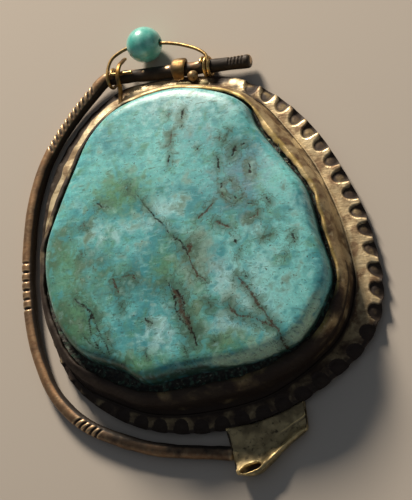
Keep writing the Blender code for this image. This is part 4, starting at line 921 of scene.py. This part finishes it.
def makeRod():
    path, run = rodPath()
    angles = np.linspace(0, 2 * math.pi, rod["sides"], endpoint=False)
    toStone = planCentre - path[:, :2]
    toStone /= np.linalg.norm(toStone, axis=1, keepdims=True)
    circle = tubeGrid(path, rod["radius"], rod["sides"])[1]
    facing = (circle[..., :2] * toStone[:, None]).sum(axis=-1)  # 1 on the side towards the stone
    shownSide = smoothStep(-facing, -0.7, -0.2) * smoothStep(circle[..., 2], -0.3, 0.1)
    cut = np.zeros(facing.shape)
    picks = np.random.default_rng(9)
    for start, end, count, depth, halfWidth, slant in rod["notches"]:
        first, last = (run[np.argmin(np.hypot(*(path[:, :2] - place).T))] for place in (start, end))
        step = (last - first) / count
        for k in range(count):
            middle = first + step * (k + 0.75) + picks.uniform(-0.05, 0.05)
            away = np.abs(run[:, None] - middle - slant * np.sin(angles))
            mark = depth * picks.uniform(0.7, 1.2) * np.clip(1 - (away / halfWidth) ** 1.6, 0, 1)
            cut = np.maximum(cut, mark * shownSide)
    radii = np.full(cut.shape, rod["radius"])
    for fromEnd in (run, run[-1] - run):
        share = np.clip(fromEnd / rod["roundedEnd"], 0, 1)
        radii *= (0.72 + 0.28 * np.sqrt(share))[:, None]
    grid, circle = tubeGrid(path, radii - cut, rod["sides"])
    bumps = rod["dent"] * (softNoise(grid, rod["dentSize"], 51) - 0.6)
    bumps += rod["hammer"] * softNoise(grid, rod["hammerSize"], 52)
    grid += circle * bumps[..., None]
    run = run[:, None]
    straight = smoothStep(run, 4.5, 6.0) * (1 - smoothStep(run, 16.0, 18.0))
    last = smoothStep(run, run[-1] - 18.0, run[-1] - 13.0)
    blotched = softNoise(grid, rod["blotchSize"], 53)
    # Painted shade in the notches and on the underside, and darker blotches over the straight part where
    # the bead's shadow is painted
    dirtAndShade = 0.9 * smoothStep(cut, 0.05, 0.15) + 0.45 * (1 - smoothStep(grid[..., 2], 0.2, 0.9))
    dirtAndShade += rodPaintedShade(run, facing, circle[..., 2]) + straight * (0.35 + 0.7 * blotched)
    rough = (rod["roughStraight"] * straight + rod["roughLast"] * last) * blotched
    grid += circle * rough[..., None]
    # Painted highlights: glints on the straight part, fewer on the side towards the stone; they lift the
    # shade and brighten the metal
    glints = straight * smoothStep(softNoise(grid, 0.7, 54) - 0.4 * facing, 0.35, 0.6)
    addPiece("curvedRod", grid, rodBronze, "setting", "curved_rod",
             fields={"dirtAndShade": dirtAndShade - 0.8 * glints, "paintedSheen": 1.4 * glints}, reliefRounds=10)


# Points given along the rod, out from it and up, put in the plan; the ring's own frame is tilted a little
def onRod(points, tilt=0.0):
    start = np.array((*rod["start"], rod["height"]))
    ahead = np.array((*rod["end"], rod["height"])) - start
    ahead /= np.linalg.norm(ahead)
    out = np.array((-ahead[1], ahead[0], 0.0)) * math.cos(tilt) + np.array((0, 0, math.sin(tilt)))
    return start + np.asarray(points, float) @ np.array((ahead, out, np.cross(ahead, out)))


ring = {
    "wire": 0.19, "wrap": 1.02, "tilt": math.radians(-3.6), "left": 0.30, "right": 12.35, "pitch": 0.47,
    "leftTurns": 1, "rightTurns": 2, "stubEnd": 3.3, "sides": 20, "spacing": 0.06, "easeRounds": 4,
    "arc": [
        (0.34, 0.9), (0.62, 1.8), (1.3, 2.45), (2.6, 3.05), (4.5, 3.22), (6.6, 3.1), (8.2, 2.8),
        (9.7, 2.3), (11.0, 1.7), (12.0, 0.9),
    ],
}


# Turns of wire round the rod, from its top towards the stone and under
def wireTurns(start, pitch, turns):
    turn = np.linspace(0, turns, 60 * turns)
    around = 2 * math.pi * turn
    level = ring["wrap"]
    return np.stack([start + pitch * turn, -level * np.sin(around), level * np.cos(around)], axis=1)


def makeRing():
    level = ring["wrap"]
    left = wireTurns(ring["left"], ring["pitch"], ring["leftTurns"])
    right = wireTurns(ring["right"], -ring["pitch"], ring["rightTurns"])
    stub = np.array([
        (ring["stubEnd"], -0.05, level), (ring["stubEnd"] - 1.2, -0.05, level),
        (ring["left"] + ring["pitch"] + 0.35, -0.06, level),
    ])
    arc = [(u, v, level) for u, v in ((ring["left"], 0.0), *ring["arc"], (ring["right"], 0.0))]
    joined = np.concatenate([stub, left[::-1][:-1], splinePoints(arc, 12, False)[:-1], right])
    path = evenPath(onRod(joined, ring["tilt"]), ring["spacing"])[0]
    for _ in range(ring["easeRounds"]):
        path[1:-1] = 0.25 * path[:-2] + 0.5 * path[1:-1] + 0.25 * path[2:]
    radii = ring["wire"] * (1 + 0.03 * softNoise(path, 1.5, 61))
    radii[[0, -1]] *= 0.8
    grid = tubeGrid(path, radii, ring["sides"], (0.3, 0.5, 0.8))[0]
    dirtAndShade = np.broadcast_to((0.3 + 0.3 * softNoise(path, 2.5, 62))[:, None], grid.shape[:2])
    addPiece("bailRing", grid, drawnBrass, "ring", "bail_ring", fields={"dirtAndShade": dirtAndShade})


bead = {
    "radius": 2.0, "hole": 0.42, "place": (4.5, 3.18), "around": 80, "rows": 60, "uneven": 0.02,
    "unevenSize": 1.6, "holeDepth": 1.1,
}


def makeBead():
    start = math.asin(bead["hole"] / bead["radius"]) * 1.25
    turn = np.linspace(start, math.pi - start, bead["rows"])
    along = bead["radius"] * np.cos(turn)
    out = bead["radius"] * np.sin(turn)
    rim = bead["hole"]
    into = np.array([bead["radius"] - bead["holeDepth"], along[0] - 0.16, along[0] - 0.05])
    along = np.concatenate([into, along, -into[::-1]])
    out = np.concatenate([[rim, rim, rim + 0.03], out, [rim + 0.03, rim, rim]])
    around = np.linspace(0, 2 * math.pi, bead["around"], endpoint=False)
    x, y = bead["place"]
    grid = onRod(np.stack(np.broadcast_arrays(
        x + along[:, None], y + out[:, None] * np.cos(around),
        ring["wrap"] + out[:, None] * np.sin(around)), axis=-1), ring["tilt"])
    middle = grid.mean(axis=(0, 1))
    lumpy = bead["uneven"] / bead["radius"] * (softNoise(grid, bead["unevenSize"], 71) - 0.8)
    grid = middle + (grid - middle) * (1 + lumpy)[..., None]
    addPiece("turquoiseBead", grid, makeBeadMaterial(beadLook), "ring", "turquoise_bead",
             closeRows=True)


straps = {
    "leftStrap": {
        "node": "left_strap", "along": 1.8, "width": 0.5, "thickness": 0.34, "clear": 1.31, "squash": 1.12,
        "turns": (155, 130, 105, 80, 55, 32), "start": [(-3.3, 0.11), (-2.3, 0.2)],
        "end": [(1.75, 0.2), (2.15, -0.25)], "shares": [0.95, 0.9, 0.95, 1.0, 1.0, 0.85],
        "dirtAndShade": 0.35, "seed": 91,
    },
    "rightStrap": {
        "node": "right_strap", "along": 8.75, "width": 1.6, "thickness": 0.44, "clear": 0.86, "squash": 1.0,
        "turns": (136, 112, 86, 60, 34, 8, -18), "start": [(-1.12, 0.12)], "end": [],
        "shares": [0.75, 0.95, 1.0, 1.0, 0.9, 0.7], "dirtAndShade": 0.7, "seed": 93,
    },
}
strapSides = 28
strapLump = 0.06


# A flat strip bent over the rod, in a section across the rod, its width changing along it
def makeStrap(name, look):
    path = list(look["start"])
    for turn in np.radians(look["turns"]):
        path.append((look["clear"] * look["squash"] * math.cos(turn), look["clear"] * math.sin(turn)))
    path = splinePoints(path + list(look["end"]), 8, False)
    ahead = np.gradient(path, axis=0)
    ahead /= np.linalg.norm(ahead, axis=1, keepdims=True)
    normal = np.stack([-ahead[:, 1], ahead[:, 0]], axis=1)
    places = np.linspace(0, 1, len(look["shares"]))
    width = look["width"] / 2 * np.interp(np.linspace(0, 1, len(path)), places, look["shares"])
    around = np.linspace(0, 2 * math.pi, strapSides, endpoint=False)
    across = np.sign(np.cos(around)) * np.abs(np.cos(around)) ** 0.55
    up = 0.5 + 0.5 * np.sign(np.sin(around)) * np.abs(np.sin(around)) ** 0.7
    section = path[:, None] + look["thickness"] * up[:, None] * normal[:, None]
    along = look["along"] + width[:, None] * across
    grid = onRod(np.concatenate([along[..., None], section], axis=2))
    grid[..., 2] += strapLump * softNoise(grid, 0.7, look["seed"])
    dirtAndShade = look["dirtAndShade"] + 0.5 * softNoise(grid, 0.9, look["seed"] + 1)
    addPiece(name, grid, drawnBrass, "setting", look["node"], fields={"dirtAndShade": dirtAndShade},
             reliefRounds=8)


lumps = {
    "shotBall": {
        "node": "shot_ball", "slot": "bronze", "finish": castBronze, "place": (-1.8, 20.83, 1.93),
        "size": (0.6, 0.6, 0.58), "uneven": 0.03, "turn": 0.0, "seed": 95,
    },
    "solderBar": {
        "node": "solder_bar", "slot": "solder", "finish": setSolder, "place": (-3.0, 20.25, 1.56),
        "size": (0.95, 0.25, 0.24), "uneven": 0.04, "turn": -0.165, "seed": 96,
    },
    "solderLump": {
        "node": "solder_lump", "slot": "solder", "finish": setSolder, "place": (-0.6, 19.75, 1.68),
        "size": (0.62, 0.42, 0.34), "uneven": 0.08, "turn": 0.0, "seed": 97,
    },
}


# A lump of set metal: a ball pulled to the given half sizes, turned and uneven
def makeLump(name, look):
    rows = np.linspace(0.06, math.pi - 0.06, 34)[:, None]
    around = np.linspace(0, 2 * math.pi, 48, endpoint=False)
    ball = np.stack(np.broadcast_arrays(
        np.sin(rows) * np.cos(around), np.sin(rows) * np.sin(around), np.cos(rows)), axis=-1)
    turned = np.array(Matrix.Rotation(look["turn"], 3, "Z").transposed())
    grid = ball * np.array(look["size"]) @ turned + np.array(look["place"])
    grid += ball * (look["uneven"] * softNoise(grid, 0.6, look["seed"]))[..., None]
    grid[..., 2] = np.maximum(grid[..., 2], flangeTop + 0.01)
    # Darker towards the bottom, where the lump meets the flange
    dirtAndShade = 0.2 + 0.5 * (1 - smoothStep(grid[..., 2], flangeTop, flangeTop + look["size"][2]))
    addPiece(name, grid, look["finish"], "setting", look["node"], fields={"dirtAndShade": dirtAndShade},
             reliefRounds=6)


leaf = {
    "inner": [(1.9, -20.0), (3.9, -19.7), (5.8, -19.3), (7.6, -18.7), (9.1, -18.0), (10.1, -17.5)],
    "outer": [(3.05, -24.6), (4.9, -24.85), (6.4, -23.8), (7.8, -22.4), (8.9, -21.7), (10.4, -20.5)],
    "section": [  # share of the way out, height
        (0.0, 0.2), (0.0, 0.55), (0.02, 0.9), (0.08, 1.0), (0.2, 0.95), (0.35, 0.88), (0.55, 0.96),
        (0.72, 1.15), (0.84, 1.45), (0.91, 1.66), (0.96, 1.72), (0.995, 1.6), (1.0, 1.35),
        (0.985, 0.95), (0.96, 0.55), (0.88, 0.2),
    ],
    "bottom": 0.2,
    "pocketPlace": (4.55, -24.0), "pocketSize": (1.15, 0.52), "pocketTurn": math.radians(18.0),
    "pocketDepth": 0.75, "pocketRim": 0.10, "edgeWander": 0.16,
    "hood": 0.75, "hoodReach": 0.32, "hammerSize": 0.9, "hammer": 0.11,
}


def makeLeaf():
    inner = splinePoints(leaf["inner"], 24, False)
    angles = np.arctan2(inner[:, 1] - planCentre[1], inner[:, 0] - planCentre[0])
    inner = ringGrid(angles, radiusAt("border", angles) + 0.02, 0.0)[:, :2]
    outer = splinePoints(leaf["outer"], 24, False)
    section = splinePoints(leaf["section"], 7, False)
    along = np.linspace(0, 1, len(inner))[:, None]
    share, height = section.T[:, None]
    around = ringGrid(angles, 20.0, 0.0)
    wander = np.stack([softNoise(around, 0.9, seed) for seed in (83, 84)], axis=-1)
    outer = outer + leaf["edgeWander"] * wander
    plan = inner[:, None] + (outer - inner)[:, None] * share[..., None]
    bottom = leaf["bottom"]
    wave = (1.0 + 0.08 * np.sin(along * 17.0)) * (1.0 - 0.45 * along ** 2)
    hood = leaf["hood"] * np.maximum(0.0, 1 - along / leaf["hoodReach"]) * (1 - share)
    level = bottom + (height - bottom) * np.where(share > 0.5, wave, 1.0) + hood
    level = np.where(height <= bottom, height, level)
    grid = np.concatenate([plan, level[..., None]], axis=2)
    shown = smoothStep(grid[..., 2], 0.5, 0.9)
    grid[..., 2] += shown * leaf["hammer"] * softNoise(grid, leaf["hammerSize"], 81)
    turn = np.array(Matrix.Rotation(leaf["pocketTurn"], 2))
    local = (grid[..., :2] - np.array(leaf["pocketPlace"])) @ turn / np.array(leaf["pocketSize"])
    away = np.hypot(local[..., 0], local[..., 1]) + 0.12 * softNoise(grid, 0.5, 82)
    bowl = np.sqrt(np.clip(1 - away ** 2, 0, 1)) * smoothStep(grid[..., 2], 0.4, 0.9)
    rim = np.exp(-((away - 1.12) / 0.16) ** 2) * smoothStep(grid[..., 2], 0.6, 1.1)
    grid[..., 2] += leaf["pocketRim"] * rim - leaf["pocketDepth"] * bowl
    grid[..., 2] = np.maximum(grid[..., 2], bottom)
    lipEdge = smoothStep(share, 0.8, 0.9) * smoothStep(grid[..., 2], 0.8, 1.1)
    # Painted shade in the pocket and along the inner edge by the border, a dark red-brown tint in the
    # pocket, and a painted highlight on the pocket's rim and along the lip
    fields = {
        "dirtAndShade": 0.75 * smoothStep(bowl, 0.5, 0.9) + 0.35 * (1 - smoothStep(share, 0.1, 0.7)),
        "tint": smoothStep(bowl, 0.1, 0.4), "paintedSheen": np.maximum(rim, 0.8 * lipEdge),
    }
    addPiece("tailLeaf", grid, tailBronze, "setting", "tail_leaf", fields=fields,
             reliefRounds=14)


makeStone()
makePitch()
makeCollet()
makeBorder()
makeRod()
makeLeaf()
makeRing()
makeBead()
for strap, look in straps.items():
    makeStrap(strap, look)
for lump, look in lumps.items():
    makeLump(lump, look)
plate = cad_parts["base_plate"]
plate.data.materials.clear()
plate.data.materials.append(castBronze)


# Plain matt floor, pale and a little warm
def makeFloor():
    made, tree, place, shader = newMaterial("floor board plain matt")
    fillInputs(tree, shader, {"Base Color": linear("#c4bbb0"), "Roughness": 0.85})
    half = 1.5
    mesh = bpy.data.meshes.new("floor")
    mesh.from_pydata([(-half, -half, 0), (half, -half, 0), (half, half, 0), (-half, half, 0)], [],
                     [(0, 1, 2, 3)])
    mesh.materials.append(made)
    floor = bpy.data.objects.new("floor", mesh)
    bpy.context.scene.collection.objects.link(floor)


studio = {
    "tilt": math.radians(31.0), "ground": (0.70, -0.714), "target": (1.78, -1.37, 2.5), "distance": 260.0,
    "halfHeight": 250 * 0.105, "keyFrom": (-0.36, 0.93, 0.47), "keyDistance": 0.5, "keySize": 0.11,
    "keyPower": 3.9, "keyColour": "#fff1de", "sky": "#c3cbd6", "skyStrength": 0.19,
}


def makeStudio():
    ground = Vector((*studio["ground"], 0)).normalized()
    back = (ground * math.sin(studio["tilt"]) + Vector((0, 0, math.cos(studio["tilt"])))).normalized()
    right = Vector((0, 1, 0)).cross(back).normalized()
    up = back.cross(right)
    lens = bpy.data.cameras.new("camera")
    camera = bpy.data.objects.new("camera", lens)
    bpy.context.scene.collection.objects.link(camera)
    place = Matrix((right, up, back)).transposed().to_4x4()
    place.translation = (Vector(studio["target"]) + back * studio["distance"]) * mm
    camera.matrix_world = place
    lens.sensor_fit = "VERTICAL"
    lens.angle_y = 2 * math.atan(studio["halfHeight"] / studio["distance"])
    lens.clip_start = 0.01
    bpy.context.scene.camera = camera
    light = bpy.data.lights.new("key", "AREA")
    light.size = studio["keySize"]
    light.energy = studio["keyPower"]
    light.color = linear(studio["keyColour"])[:3]
    key = bpy.data.objects.new("key", light)
    bpy.context.scene.collection.objects.link(key)
    direction = Vector(studio["keyFrom"]).normalized()
    key.location = direction * studio["keyDistance"]
    key.rotation_euler = direction.to_track_quat("Z", "Y").to_euler()
    world = bpy.data.worlds.new("studio")
    world.use_nodes = True
    sky = world.node_tree.nodes["Background"]
    sky.inputs[0].default_value = linear(studio["sky"])
    sky.inputs[1].default_value = studio["skyStrength"]
    bpy.context.scene.world = world
    bpy.context.scene.view_settings.view_transform = "Standard"


makeFloor()
makeStudio()
